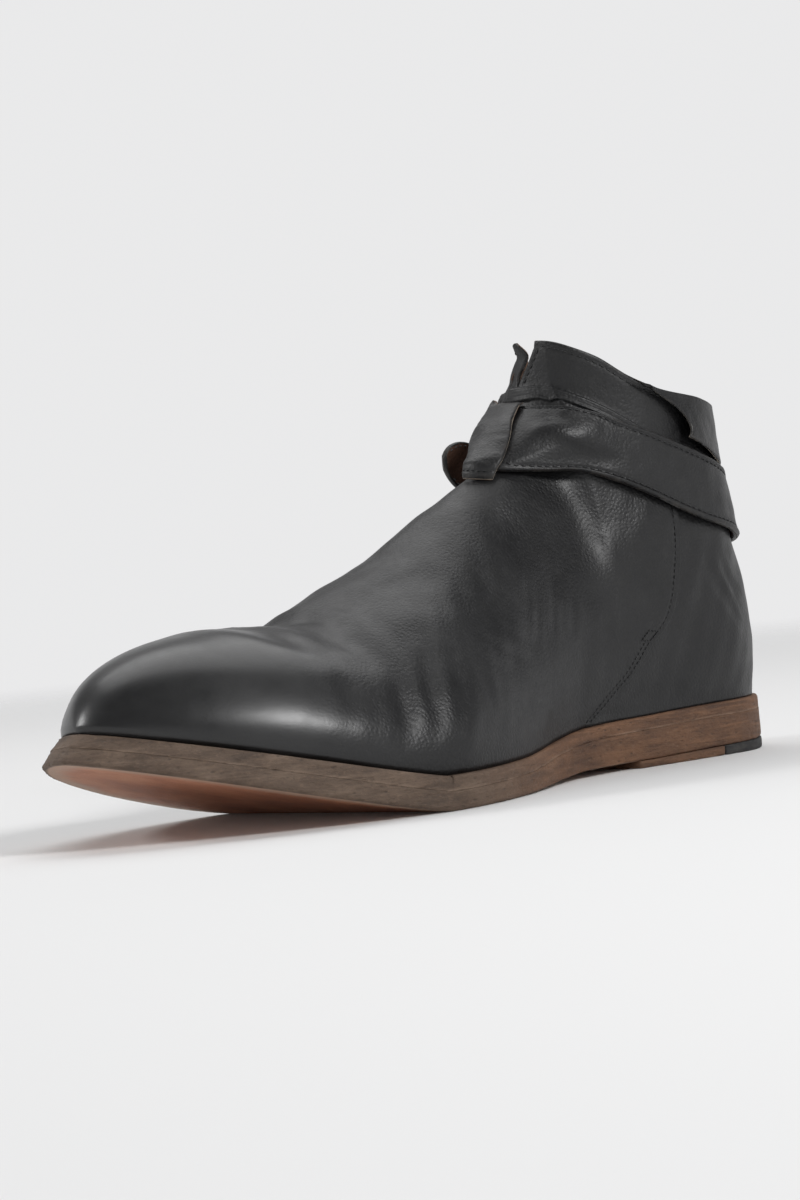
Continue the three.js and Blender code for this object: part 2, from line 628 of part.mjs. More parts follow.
keeperBase.forEach((row, i) => row.forEach((p, j) => {
  const [from, to] = KEEPER_STRAIGHT;
  if (i <= from || i >= to) return;
  const chord = keeperBase[from][j].clone().lerp(keeperBase[to][j], (i - from) / (to - from));
  if (chord.sub(p).dot(keeperNormals[i][j]) > 0) p.add(chord);
}));
const keeperOff = keeperPath.map(({ off }) => off).reverse();
group.add(sheet(
  'strap_keeper',
  lift(keeperBase, keeperNormals, (i) => keeperOff[i] + KEEPER_THICK),
  lift(keeperBase, keeperNormals, (i) => keeperOff[i]),
  blackLeather,
));

// The frame stands under the middle of the boot
const box = new THREE.Box3().setFromObject(group);
const centre = box.getCenter(new THREE.Vector3());
group.children.forEach((mesh) => mesh.geometry.translate(-centre.x, -centre.y, -box.min.z));

export default group;
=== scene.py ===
# Low ankle boot with a wrap strap and keeper, left foot.
import math
import bmesh
import bpy
import numpy as np
from mathutils import Matrix, Vector


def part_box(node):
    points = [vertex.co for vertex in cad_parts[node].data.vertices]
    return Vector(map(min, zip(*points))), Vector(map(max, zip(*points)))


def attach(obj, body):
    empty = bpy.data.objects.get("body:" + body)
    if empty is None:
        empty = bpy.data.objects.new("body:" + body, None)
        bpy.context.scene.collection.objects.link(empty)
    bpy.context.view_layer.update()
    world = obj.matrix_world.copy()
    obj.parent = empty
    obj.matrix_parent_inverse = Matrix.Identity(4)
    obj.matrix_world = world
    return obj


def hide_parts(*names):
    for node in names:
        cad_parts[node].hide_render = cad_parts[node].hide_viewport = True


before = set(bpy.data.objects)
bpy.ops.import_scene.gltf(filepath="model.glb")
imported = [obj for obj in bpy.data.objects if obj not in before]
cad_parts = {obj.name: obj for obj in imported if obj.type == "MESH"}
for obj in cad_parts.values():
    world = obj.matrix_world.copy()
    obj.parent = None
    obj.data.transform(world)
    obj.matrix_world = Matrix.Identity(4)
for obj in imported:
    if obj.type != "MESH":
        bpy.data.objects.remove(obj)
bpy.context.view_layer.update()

# ---------------------------------------------------------------- sizes, millimetres
LENGTH = 300.0
BALL_WIDTH = 105.0
COLLAR_FRONT_HEIGHT = 146.0
WALL = 2.0
SOLE_HEIGHT = 14.8
MIDSOLE = 4.6
TOE_SPRING = 26.2
SPRING_START = 0.665
SPRING_POWER = 1.16
TOE_SET_BACK = 4.2
HEEL_ROUND = 0.115
TOE_IN = 4.8
HEEL_IN = 1.6
SIDE_IN = 0.053
COLLAR_FRONT = 0.28
TOE_TOP = 0.75
HEEL_JOINT = 0.135
HEEL_BREAST = 0.275
STRAP_THICK = 2.1
STRAP_OFF = 1.4
STRIP_RISE = 0.8
KEEPER_WIDTH = 15.8
KEEPER_WIDENS = -0.27
KEEPER_THICK = 1.6
COLLAR_PIECE_THICK = 1.6
FIT_GAP = 0.3
TIP = 1 - TOE_IN / LENGTH


def smooth(a, b, x):
    """Eases from 0 at a to 1 at b: t squared times (3 - 2 t)."""
    t = np.clip((np.asarray(x, float) - a) / (b - a), 0, 1)
    return t * t * (3 - 2 * t)


def curve(xs, ys, size=1.0):
    """Monotone cubic through the points (xs, ys), whose slopes are harmonic means of the chords."""
    xs = np.asarray(xs, float)
    ys = np.asarray(ys, float)
    h = np.diff(xs)
    d = np.diff(ys) / h
    m = np.concatenate([d[:1], np.zeros(len(xs) - 2), d[-1:]])
    same = d[:-1] * d[1:] > 0
    a = 2 * h[1:] + h[:-1]
    b = h[1:] + 2 * h[:-1]
    before = np.where(same, d[:-1], 1)
    after = np.where(same, d[1:], 1)
    m[1:-1] = np.where(same, (a + b) / (a / before + b / after), 0)

    def at(x):
        c = np.clip(x, xs[0], xs[-1])
        k = np.clip(np.searchsorted(xs, c, side="right") - 1, 0, len(h) - 1)
        t = (c - xs[k]) / h[k]
        t2 = t * t
        t3 = t2 * t
        low = ys[k] * (2 * t3 - 3 * t2 + 1) + m[k] * h[k] * (t3 - 2 * t2 + t)
        high = ys[k + 1] * (-2 * t3 + 3 * t2) + m[k + 1] * h[k] * (t3 - t2)
        return size * (low + high)

    return at


# The tables of the last and of the straps, as shares of the sizes above
outer_outline = curve([0, 0.10, 0.20, 0.30, 0.36, 0.42, 0.48, 0.55, 0.60, 0.64, 1],
                      [0.3048, 0.3067, 0.2952, 0.2762, 0.2914, 0.3381, 0.4095, 0.4857,
                       0.5238, 0.541, 0.541], BALL_WIDTH)
inner_outline = curve([0, 0.12, 0.20, 0.30, 0.42, 0.50, 0.58, 0.66, 0.72, 1],
                      [0.2952, 0.3095, 0.3095, 0.2952, 0.281, 0.3048, 0.3667, 0.4333,
                       0.4571, 0.4571], BALL_WIDTH)
underside = curve([0, 0.20, 0.26, 0.36, 0.44, 0.52, 0.60, 1],
                  [0.2703, 0.1959, 0.1689, 0.1622, 0.0811, 0.0068, 0, 0], SOLE_HEIGHT)
thickness = curve([0, 0.15, 0.30, 0.42, 0.52, 0.62, 0.8, 1],
                  [1, 1.0068, 0.9662, 0.8716, 0.7568, 0.7162, 0.7027, 0.6622], SOLE_HEIGHT)
ridge_line = curve([0.28, 0.2835, 0.2885, 0.2957, 0.308, 0.3307, 0.3565, 0.384, 0.417, 0.46,
                    0.52, 0.58, 0.635, 0.68, 0.715, 0.76, 0.79, 0.83, 0.88, 1],
                   [1, 0.9384, 0.8904, 0.8356, 0.7877, 0.7545, 0.729, 0.705, 0.6705, 0.6245,
                    0.562, 0.511, 0.470, 0.433, 0.390, 0.3705, 0.3655, 0.3600, 0.3505, 0.337],
                   COLLAR_FRONT_HEIGHT)
collar_edge = curve([0, 0.05, 0.10, 0.16, 0.205, 0.24, 0.265, 0.28],
                    [0.817, 0.8215, 0.839, 0.8645, 0.899, 0.9475, 0.9776, 1],
                    COLLAR_FRONT_HEIGHT)
section_up = curve([0, 0.32, 0.45, 0.6, 0.75, 0.88, 1], [2.2, 2.2, 2.1, 2.15, 2.4, 2.7, 2.8])
section_across = curve([0, 0.45, 0.6, 0.75, 0.88, 1], [2, 2, 2, 2.1, 2.2, 2.2])
ankle_width = curve(np.array([0, 0.1233, 0.274, 0.4247, 0.5822, 0.7192, 0.8219, 1.0274])
                    * COLLAR_FRONT_HEIGHT, [1, 1, 1.05, 1.04, 0.975, 0.92, 0.90, 0.885])
heel_curve = curve([0, 0.15, 0.35, 0.5, 0.6, 0.7, 0.8, 1],
                   [0, -1.0, 1.4, 5.8, 8.2, 9.8, 11.2, 11.6])
swell = curve([0, 0.15, 0.3, 0.45, 0.65, 0.85, 1], [1.0, 1.2, 1.4, 1.6, 1.8, 1.5, 0.8])
ridge_set = curve([0, 0.3, 0.45, 0.7, 0.85, 1], [0, 0, -2, -4, -3.5, -2])
row_rate = curve([0, 0.15, 0.3, 0.45, 0.6, 0.75, 0.85, 1],
                 [1.9, 2.2, 2.6, 2.5, 1.9, 1.15, 0.95, 0.92])
strip_line = curve([0, 0.04, 0.14, 0.19, 0.223, 0.253, 0.273, 0.29],
                   [0.6712, 0.6781, 0.7055, 0.7500, 0.7965, 0.842, 0.870, 0.897],
                   COLLAR_FRONT_HEIGHT)
strap_along = [0, 0.033, 0.083, 0.133, 0.18, 0.223, 0.257, 0.31, 0.36, 0.4]
strap_top = curve(strap_along, [0.6062, 0.6247, 0.6707, 0.7097, 0.746, 0.778, 0.803, 0.838,
                                0.8542, 0.861], COLLAR_FRONT_HEIGHT)
strap_bottom = curve(strap_along, [0.478, 0.489, 0.518, 0.5462, 0.5815, 0.620, 0.652, 0.688,
                                   0.694, 0.704], COLLAR_FRONT_HEIGHT)


def half_width(x, side):
    """Half width of the sole: the outline table, rounded off at heel and toe by power curves."""
    s = np.clip(x / LENGTH, 0, 1)
    heel = np.sqrt(np.clip(1 - (1 - np.clip(s / HEEL_ROUND, 0, 1)) ** 2.2, 0, 1))
    q = np.clip((s - 0.64) / 0.36, 0, 1)
    lateral = outer_outline(s) * heel * (1 - q ** 1.75) ** (1 / 1.45)
    q = np.clip((s - 0.72) / 0.28, 0, 1)
    medial = inner_outline(s) * heel * (1 - q ** 2.3) ** (1 / 1.75)
    return np.where(np.asarray(side) > 0, lateral, medial)


def spring(x):
    """Rise of the ground line at the toe, a power of the way past its start."""
    way = np.maximum(0, (x / LENGTH - SPRING_START) / (1 - SPRING_START))
    return TOE_SPRING * way ** SPRING_POWER


def bend(x, y, z, reach=0.0):
    """Lays a point of the flat shoe on the sprung line, turned by the line's slope."""
    w = 0.5 + reach * np.maximum(0, z)
    turn = np.arctan((spring(x + w) - spring(x - w)) / (2 * w))
    bent = [x - z * np.sin(turn), y + 0 * x, spring(x) + z * np.cos(turn)]
    return np.stack(np.broadcast_arrays(*bent), -1)


def sole_top(s):
    """Height of the feather line over the flat ground."""
    return underside(s) + thickness(s)


def ridge_height(s):
    """Height of the instep line, closed down over the toe by a power curve."""
    q = np.clip((s - TOE_TOP) / (TIP - TOE_TOP), 0, 1)
    return sole_top(s) + (ridge_line(s) - sole_top(s)) * (1 - q ** 2.1) ** (1 / 1.95)


def section_height(s):
    """Height at which the section closes; behind the collar front it runs on above the edge."""
    half = 0.5 * COLLAR_FRONT
    base = np.where(s < COLLAR_FRONT, COLLAR_FRONT_HEIGHT, ridge_height(s)) - sole_top(s)
    gone = np.clip(1 - np.clip((s - half) / half, 0, 1) ** 2.3, 0, 0.92)
    gone = np.where(s < half, 0.92, gone)
    return base / (1 - gone) ** (1 / 2.2)


def upper_width(x, side):
    """Half width of the upper at the feather line, drawn in from the sole's outline."""
    s = np.clip((x - HEEL_IN) / (LENGTH - HEEL_IN - TOE_IN), 0, 1)
    return np.maximum(1e-4, half_width(LENGTH * s, side) * (1 - SIDE_IN))


def upper_at(side, x, z):
    """Outer face at length x and height z: width times (1 - q^up)^(1/across) of the height share q,
    plus a low swell over the feather line, with the heel curve and the ridge's sideways set."""
    s = x / LENGTH
    q = np.clip((z - sole_top(s)) / np.maximum(section_height(s), 1e-6), 0, 1)
    w = upper_width(x, side) * ankle_width(z) ** (1 - smooth(0.35, 0.5, s))
    t = np.clip(q / 0.62, 0, 1)
    full = swell(s) * 6.75 * t * (1 - t) ** 2 * np.clip(w / 12, 0, 1)
    y = w * (1 - q ** section_up(s)) ** (1 / section_across(s)) + full
    back = heel_curve((z - 18) / 103) * np.clip(1 - s / 0.36, 0, 1) ** 1.3
    return bend(x + back, side * y + ridge_set(s) * q ** 1.5, z, 0.55)


_share = COLLAR_FRONT + (TIP - COLLAR_FRONT) * (1 - (1 - np.linspace(0, 1, 701)) ** 2.2)
RIDGE_X = _share * LENGTH
_steps = np.hypot(np.diff(RIDGE_X), np.diff(ridge_height(_share)))
RIDGE_ARC = np.concatenate([[0], np.cumsum(_steps)])
ROW_AT = np.linspace(0, 1, 401)
_rates = row_rate(ROW_AT)
ROW_ARC = np.concatenate([[0], np.cumsum((_rates[1:] + _rates[:-1]) / 2)])
ROW_ARC = 1 - ROW_ARC / ROW_ARC[-1]


def ridge_of_row(v):
    """Length x at which row v of the upper meets the ridge."""
    return np.interp(np.interp(v, ROW_AT, ROW_ARC) * RIDGE_ARC[-1], RIDGE_ARC, RIDGE_X)


def row_of_ridge(x):
    """Row of the upper that meets the ridge at length x; 1 behind the collar front."""
    arc = np.interp(x, RIDGE_X, RIDGE_ARC) / RIDGE_ARC[-1]
    row = np.interp(arc, ROW_ARC[::-1], ROW_AT[::-1])
    return np.where(x <= COLLAR_FRONT * LENGTH + 1e-6, 1, row)


def upper_point(side, u, v):
    """Outer face by share u from heel back (0) to front (1), row v from feather line to collar."""
    x = HEEL_IN + ((ridge_of_row(v) - HEEL_IN) * (1 - np.cos(np.pi * u))) / 2
    s = x / LENGTH
    f = np.clip(v / np.maximum(row_of_ridge(x), 1e-6), 0, 1)
    edge = np.where(s <= COLLAR_FRONT + 1e-6, collar_edge(s), ridge_height(s)) - sole_top(s)
    k = smooth(COLLAR_FRONT, COLLAR_FRONT + 0.12, s)
    g = f * (1 - k) + np.sin((np.pi * f) / 2) * k
    return upper_at(side, x, sole_top(s) + edge * g)


def halve(low, high, shape, below, turns=30):
    """Finds where `below` stops being true between low and high, by halving, for a whole array."""
    lo = np.full(shape, float(low))
    hi = np.full(shape, float(high))
    for _ in range(turns):
        mid = (lo + hi) / 2
        under = below(mid)
        lo = np.where(under, mid, lo)
        hi = np.where(under, hi, mid)
    return (lo + hi) / 2


def row_on_line(side, u, line):
    """Row at which the upper crosses a height line that depends on the length x."""
    side, u = np.broadcast_arrays(side, u)

    def below(v):
        p = upper_point(side, u, v)
        return p[..., 2] < line(p[..., 0])

    return halve(0.25, 1, u.shape, below)


def on_line(side, u, line):
    """Point of the upper on a height line."""
    return upper_point(side, u, row_on_line(side, u, line))


def body_row(side, u, v):
    """Moves the rows so that row 0.87 runs along the top edge of the strip."""
    at = row_on_line(side, u, lambda x: strip_line(x / LENGTH))
    mid = 0.55 + ((v - 0.55) * (at - 0.55)) / 0.32
    top = at + ((v - 0.87) * (1 - at)) / 0.13
    return np.where(v <= 0.55, v, np.where(v <= 0.87, mid, top))


def front_set(side, u, v):
    """Set of the front: the outer flap laps over, the inner flap is pinched in and curls."""
    c = (1 - np.cos(np.pi * u)) / 2
    gone = smooth(0.876, 1, v)
    apart = 0.7 * smooth(0.876, 0.9, v)
    slant = -5.5 * smooth(0.74, 0.876, v) * (1 - gone) + 1.2 * gone
    pinch = smooth(0.82, 0.91, v)
    curl = smooth(0.95, 1, v)
    edge = 1 - np.sqrt(np.clip((1 - c) / 0.08, 0, 1))
    front = slant + apart - 1.4 * smooth(0.876, 0.9, v) - 4.9 * curl
    y = pinch * (7.6 * smooth(0.62, 0.86, c) * (1 - edge) + front * edge)
    inner = [2.6 * curl * c ** 12, y + slant * (1 - pinch) * c ** 6, 0 * y]
    outer = [0.4 * gone * c ** 6, (slant + apart) * c ** 6, 0 * y]
    pairs = [np.where(side > 0, a, b) for a, b in zip(outer, inner)]
    return np.stack(np.broadcast_arrays(*pairs), -1)


def normals_of(grid):
    """Unit normals of a grid of points: the cross product of its two gradients."""
    up = np.gradient(grid, axis=0)
    along = np.gradient(grid, axis=1)
    n = np.cross(along, up)
    return n / np.maximum(np.linalg.norm(n, axis=-1, keepdims=True), 1e-9)


# ---------------------------------------------------------------- meshes from grids
_sole_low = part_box("outsole")[0]
SHIFT = np.array([_sole_low.x * 1000, _sole_low.y * 1000 + inner_outline(1.0), 0.0])


def piece(name, points, faces, finishes, face_finish=None, marks=None, stands_for=(),
          slot="black_leather", rounded=True, merge=0.002):
    """Puts points in millimetres and quads into a mesh in metres, merges its doubles, points its
    faces outward and rides it on the boot. Marks are named numbers that each point carries."""
    mesh = bpy.data.meshes.new(name)
    flat = (np.asarray(points, float).reshape(-1, 3) + SHIFT) * 0.001
    faces = np.asarray(faces)
    mesh.from_pydata(flat.tolist(), [], faces.tolist())
    for finish in finishes:
        mesh.materials.append(finish)
    if face_finish is not None:
        mesh.polygons.foreach_set("material_index", np.asarray(face_finish, np.int32))
    for mark, values in (marks or {}).items():
        layer = mesh.attributes.new(mark, "FLOAT", "POINT")
        layer.data.foreach_set("value", np.asarray(values, np.float32).ravel())
    form = bmesh.new()
    form.from_mesh(mesh)
    bmesh.ops.remove_doubles(form, verts=form.verts, dist=merge * 0.001)
    bmesh.ops.dissolve_degenerate(form, edges=form.edges, dist=1e-7)
    if form.calc_volume(signed=True) < 0:
        bmesh.ops.reverse_faces(form, faces=form.faces)
    form.to_mesh(mesh)
    form.free()
    mesh.polygons.foreach_set("use_smooth", np.full(len(mesh.polygons), rounded))
    mesh.update()
    thing = bpy.data.objects.new(name, mesh)
    bpy.context.scene.collection.objects.link(thing)
    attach(thing, "root")
    if stands_for:
        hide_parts(*stands_for)
    return thing


def quads(a, b, c, d):
    """Rows of four corner numbers from four equal index arrays."""
    return np.stack([a.ravel(), b.ravel(), c.ravel(), d.ravel()], -1)


def sheet_faces(rows, cols, open_from=0):
    """Quads that close an outer and an inner grid into one sheet, with the finish of each: 0 outer
    face, 1 inner face, 2 cut edge. The side edges are only made from row open_from up."""
    o = np.arange(rows * cols).reshape(rows, cols)
    n = o + rows * cols
    outer = quads(o[:-1, :-1], o[:-1, 1:], o[1:, 1:], o[1:, :-1])
    inner = quads(n[:-1, :-1], n[1:, :-1], n[1:, 1:], n[:-1, 1:])
    k = open_from
    sides = [
        quads(o[0, :-1], n[0, :-1], n[0, 1:], o[0, 1:]),
        quads(o[-1, :-1], o[-1, 1:], n[-1, 1:], n[-1, :-1]),
        quads(o[k:-1, 0], o[k + 1:, 0], n[k + 1:, 0], n[k:-1, 0]),
        quads(o[k:-1, -1], n[k:-1, -1], n[k + 1:, -1], o[k + 1:, -1]),
    ]
    edge = np.concatenate(sides)
    faces = np.concatenate([outer, inner, edge])
    finish = np.repeat([0, 1, 2], [len(outer), len(inner), len(edge)])
    return faces, finish


def run_of(points, axis=0):
    """Running length in millimetres along one axis of a grid of points."""
    steps = np.linalg.norm(np.diff(points, axis=axis), axis=-1)
    zero = np.zeros_like(np.take(steps, [0], axis=axis))
    return np.concatenate([zero, np.cumsum(steps, axis=axis)], axis=axis)


def rolled(distance, radius):
    """Drop of a rounded edge: radius less the height of a quarter circle at a distance from it."""
    near = np.clip(1 - distance / radius, 0, 1)
    return radius * (1 - np.sqrt(np.clip(1 - near * near, 0, 1)))


def waves(x, seed, sizes, parts=5):
    """Sum of a few sines of seeded length and phase, about 1 high; sizes are the wave lengths."""
    source = np.random.default_rng(seed)
    lengths = source.uniform(sizes[0], sizes[1], parts)
    phases = source.uniform(0, 2 * np.pi, parts)
    total = sum(np.sin(2 * np.pi * x / length + phase) for length, phase in zip(lengths, phases))
    return total / math.sqrt(parts)


def soft_noise(p, seed, size, parts=10):
    """Sum of plane waves in seeded directions through space, about 1 high, size in millimetres."""
    source = np.random.default_rng(seed)
    way = source.normal(size=(parts, 3))
    way *= (2 * np.pi / (size * source.uniform(0.7, 1.5, parts)) /
            np.linalg.norm(way, axis=1))[:, None]
    phase = source.uniform(0, 2 * np.pi, parts)
    return np.sin(p @ way.T + phase).sum(-1) / math.sqrt(parts / 2)


def path_through(points, count=18):
    """Smooth line through three or four points by Lagrange's formula."""
    points = np.asarray(points, float)
    knots = np.linspace(0, 1, len(points))
    t = np.linspace(0, 1, count)
    total = np.zeros((count, points.shape[1]))
    for k, knot in enumerate(knots):
        others = np.delete(knots, k)
        share = np.prod((t[:, None] - others) / (knot - others), axis=1)
        total += share[:, None] * points[k]
    return total


def from_path(p, path):
    """Distance of each point to a line of segments, and how far along the line it lies, 0 to 1."""
    best = np.full(p.shape[:-1], 1e9)
    where = np.zeros(p.shape[:-1])
    for k in range(len(path) - 1):
        a, way = path[k], path[k + 1] - path[k]
        t = np.clip(((p - a) @ way) / max(way @ way, 1e-9), 0, 1)
        d = np.linalg.norm(p - a - t[..., None] * way, axis=-1)
        nearer = d < best
        best = np.where(nearer, d, best)
        where = np.where(nearer, (k + t) / (len(path) - 1), where)
    return best, where


def fold(p, path, width, depth):
    """Soft trough along a path with a low ridge on each side, fading out at both ends."""
    d, t = from_path(p, path)
    d = d / width
    ends = np.sin(np.pi * np.clip(t, 0, 1)) ** 0.7
    return -depth * ends * (np.exp(-d * d) - 0.45 * np.exp(-(d - 1.75) ** 2 * 1.3))


def stitch_row(path, outward, pitch=2.7, length=1.9, thick=0.5, lift=0.05, skip=0):
    """Stitches as small lenses: each runs along the path for its length, is highest in its
    middle, and dips to the surface at both ends, where the thread goes down."""
    arc = run_of(path)
    count = int(arc[-1] // pitch) - skip
    at = (np.arange(count) + 0.5 + skip / 2) * pitch

    def along(values, s):
        return np.stack([np.interp(s, arc, values[:, k]) for k in range(3)], -1)

    t = np.array([-1, -0.82, -0.4, 0, 0.4, 0.82, 1.0])
    ring = np.linspace(0, 2 * np.pi, 7)[:-1]
    s = at[:, None] + t * length / 2
    centre = along(path, s)
    up = along(outward, s)
    up /= np.linalg.norm(up, axis=-1, keepdims=True)
    way = np.gradient(centre, axis=1)
    way /= np.linalg.norm(way, axis=-1, keepdims=True)
    across = np.cross(way, up)
    size = thick / 2 * np.sqrt(np.clip(1 - t ** 4, 0, 1))
    rise = lift + thick * 0.30 * (1 - t * t) - thick * 0.35 * t ** 6
    centre = centre + up * rise[None, :, None]
    wide = (size[:, None] * np.cos(ring))[None, ..., None]
    high = (size[:, None] * np.sin(ring) * 0.8)[None, ..., None]
    points = centre[:, :, None] + across[:, :, None] * wide + up[:, :, None] * high
    n, r, c = points.shape[:3]
    ids = np.arange(n * r * c).reshape(n, r, c)
    turn = np.roll(ids, -1, axis=2)
    faces = quads(ids[:, :-1], ids[:, 1:], turn[:, 1:], turn[:, :-1])
    return points.reshape(-1, 3), faces


def stitched(name, rows, finish, **more):
    """Joins several rows of stitches into one piece."""
    points, faces, start = [], [], 0
    for p, f in rows:
        points.append(p)
        faces.append(f + start)
        start += len(p)
    return piece(name, np.concatenate(points), np.concatenate(faces), [finish], merge=0.0001,
                 **more)


# ---------------------------------------------------------------- finishes
class Wire:
    """One output of a material's node. Sums on wires add the Math nodes that they need."""

    def __init__(self, bench, socket):
        self.bench = bench
        self.socket = socket

    def math(self, operation, *values):
        return self.bench.node("ShaderNodeMath", {"operation": operation}, values)

    def __add__(self, other):
        return self.math("ADD", self, other)

    def __sub__(self, other):
        return self.math("SUBTRACT", self, other)

    def __rsub__(self, other):
        return self.math("SUBTRACT", other, self)

    def __mul__(self, other):
        return self.math("MULTIPLY", self, other)

    def __truediv__(self, other):
        return self.math("DIVIDE", self, other)

    def __pow__(self, other):
        return self.math("POWER", self, other)

    __radd__ = __add__
    __rmul__ = __mul__

    def step(self, low, high, start=0.0, end=1.0):
        """Eases from start at low to end at high."""
        values = {"Value": self, "From Min": low, "From Max": high, "To Min": start, "To Max": end}
        return self.bench.node("ShaderNodeMapRange", {"interpolation_type": "SMOOTHSTEP"}, values)


class Finish:
    """A material being made: node() adds a node, and give() sets the shader's own sockets."""

    def __init__(self, name, room=None):
        self.material = room or bpy.data.materials.new(name)
        self.material.use_nodes = True
        self.tree = self.material.node_tree
        self.shader = self.tree.nodes["Background" if room else "Principled BSDF"]
        self.place = self.node("ShaderNodeTexCoord", output="Generated" if room else "Object")

    def node(self, kind, settings=None, values=(), output=0):
        """Adds a node: first its settings and a ramp's stops, then its values or links."""
        made = self.tree.nodes.new(kind)
        for key, value in (settings or {}).items():
            if key == "stops":
                ramp = made.color_ramp
                for k, (position, colour) in enumerate(value):
                    stop = ramp.elements[k] if k < 2 else ramp.elements.new(position)
                    stop.position = position
                    stop.color = (*colour, 1)
            else:
                setattr(made, key, value)
        pairs = values.items() if isinstance(values, dict) else enumerate(values)
        for key, value in pairs:
            if isinstance(value, Wire):
                self.tree.links.new(value.socket, made.inputs[key])
            else:
                made.inputs[key].default_value = value
        return Wire(self, made.outputs[output])

    def stretched(self, scale, turn=(0, 0, 0)):
        """Object place, turned and then scaled."""
        values = {"Vector": self.place, "Scale": scale, "Rotation": turn}
        return self.node("ShaderNodeMapping", {}, values)

    def noise(self, size, detail=3.0, rough=0.5, place=None, bent=0.0):
        """Cloudy noise from 0 to 1 whose patches are about `size` metres across."""
        values = {"Vector": place or self.place, "Scale": 1 / size, "Detail": detail,
                  "Roughness": rough, "Distortion": bent}
        return self.node("ShaderNodeTexNoise", {}, values)

    def cells(self, size, feature="F1", place=None, loose=1.0):
        """Distance to the nearest of scattered points, about `size` metres apart."""
        values = {"Vector": place or self.place, "Scale": 1 / size, "Randomness": loose}
        return self.node("ShaderNodeTexVoronoi", {"feature": feature}, values)

    def axis(self, name):
        return self.node("ShaderNodeSeparateXYZ", {}, [self.place], name)

    def mark(self, name):
        """A number that the piece's points carry."""
        return self.node("ShaderNodeAttribute", {"attribute_name": name}, output="Fac")

    def mix(self, share, low, high):
        """Colour from low to high by a share."""
        low, high = ((*c, 1) if isinstance(c, tuple) else c for c in (low, high))
        values = {"Factor": share, 6: low, 7: high}
        settings = {"data_type": "RGBA", "clamp_factor": True}
        return self.node("ShaderNodeMix", settings, values, 2)

    def ramp(self, share, *stops):
        return self.node("ShaderNodeValToRGB", {"stops": stops}, [share])

    def bump(self, height, depth, strength=1.0):
        """Normal bent by a height from 0 to 1 that stands for `depth` metres."""
        values = {"Height": height, "Distance": depth, "Strength": strength}
        return self.node("ShaderNodeBump", {}, values)

    def give(self, **sockets):
        """Sets the shader's sockets, with spaces for underscores, and returns the material."""
        for key, value in sockets.items():
            socket = self.shader.inputs[key.replace("_", " ")]
            if isinstance(value, Wire):
                self.tree.links.new(value.socket, socket)
            else:
                socket.default_value = value
        return self.material


def black_leather(name, toe_polish=True):
    """Waxed black calf: fine pebbled grain and short wrinkles, a rubbed sheen in clouds, a smoother
    polished toe, and a brownish wear along the cut rims."""
    m = Finish(name)
    x = m.axis("X")
    toe = x.step(0.045, 0.098) if toe_polish else 0.0
    cloud = m.noise(0.030, 4, 0.55)
    fleck = m.noise(0.0042, 3, 0.6)
    grain = m.cells(0.0011)
    fine = m.noise(0.00055, 2, 0.6)
    bent = m.noise(0.012, 2)
    wrinkle = m.noise(0.0032, 4, 0.62, m.stretched((1.0, 1.0, 0.34), (0.0, 0.62, 0.0)), 0.9)
    rim = 1 - m.mark("rim").step(0.2, 1.5)
    tone = m.mix(cloud.step(0.35, 0.7), (0.0045, 0.0045, 0.0050), (0.0100, 0.0100, 0.0105))
    tone = m.mix(fleck.step(0.55, 0.8) * 0.35 * (1 - toe), tone, (0.024, 0.0235, 0.023))
    tone = m.mix(rim * fleck.step(0.42, 0.62) * 0.45, tone, (0.045, 0.038, 0.032))
    rough = 0.46 + (cloud - 0.5) * 0.24 + (fleck - 0.5) * 0.18 - toe * 0.08
    height = grain.step(0.0, 0.75) * 0.30 + fine * 0.20 + wrinkle * 0.42 + bent * 0.4
    normal = m.bump(height * (1 - toe * 0.9), 0.00022)
    return m.give(Base_Color=tone, Roughness=rough, Normal=normal,
                  Coat_Weight=0.04 + toe * 0.26, Coat_Roughness=0.24, IOR=1.45)


def cut_edge(name, low, high):
    """Raw cut leather: matt fibres in two tones."""
    m = Finish(name)
    fibre = m.noise(0.0012, 4, 0.7, m.stretched((1.0, 1.0, 3.0)))
    patch = m.noise(0.007, 3)
    tone = m.mix((fibre * 0.6 + patch * 0.6).step(0.35, 0.85), low, high)
    normal = m.bump(fibre, 0.0004)
    return m.give(Base_Color=tone, Roughness=0.86, Normal=normal)


def lining(name, low, high):
    """Vegetable tanned lining: even brown with darker handling and a soft short grain."""
    m = Finish(name)
    cloud = m.noise(0.022, 4, 0.6)
    pores = m.cells(0.0008)
    fibre = m.noise(0.0016, 3, 0.6)
    tone = m.mix((cloud * 0.8 + fibre * 0.25).step(0.3, 0.75), low, high)
    normal = m.bump(pores * 0.5 + fibre * 0.8 + cloud * 0.6, 0.0003)
    return m.give(Base_Color=tone, Roughness=0.62 + (cloud - 0.5) * 0.2, Normal=normal)


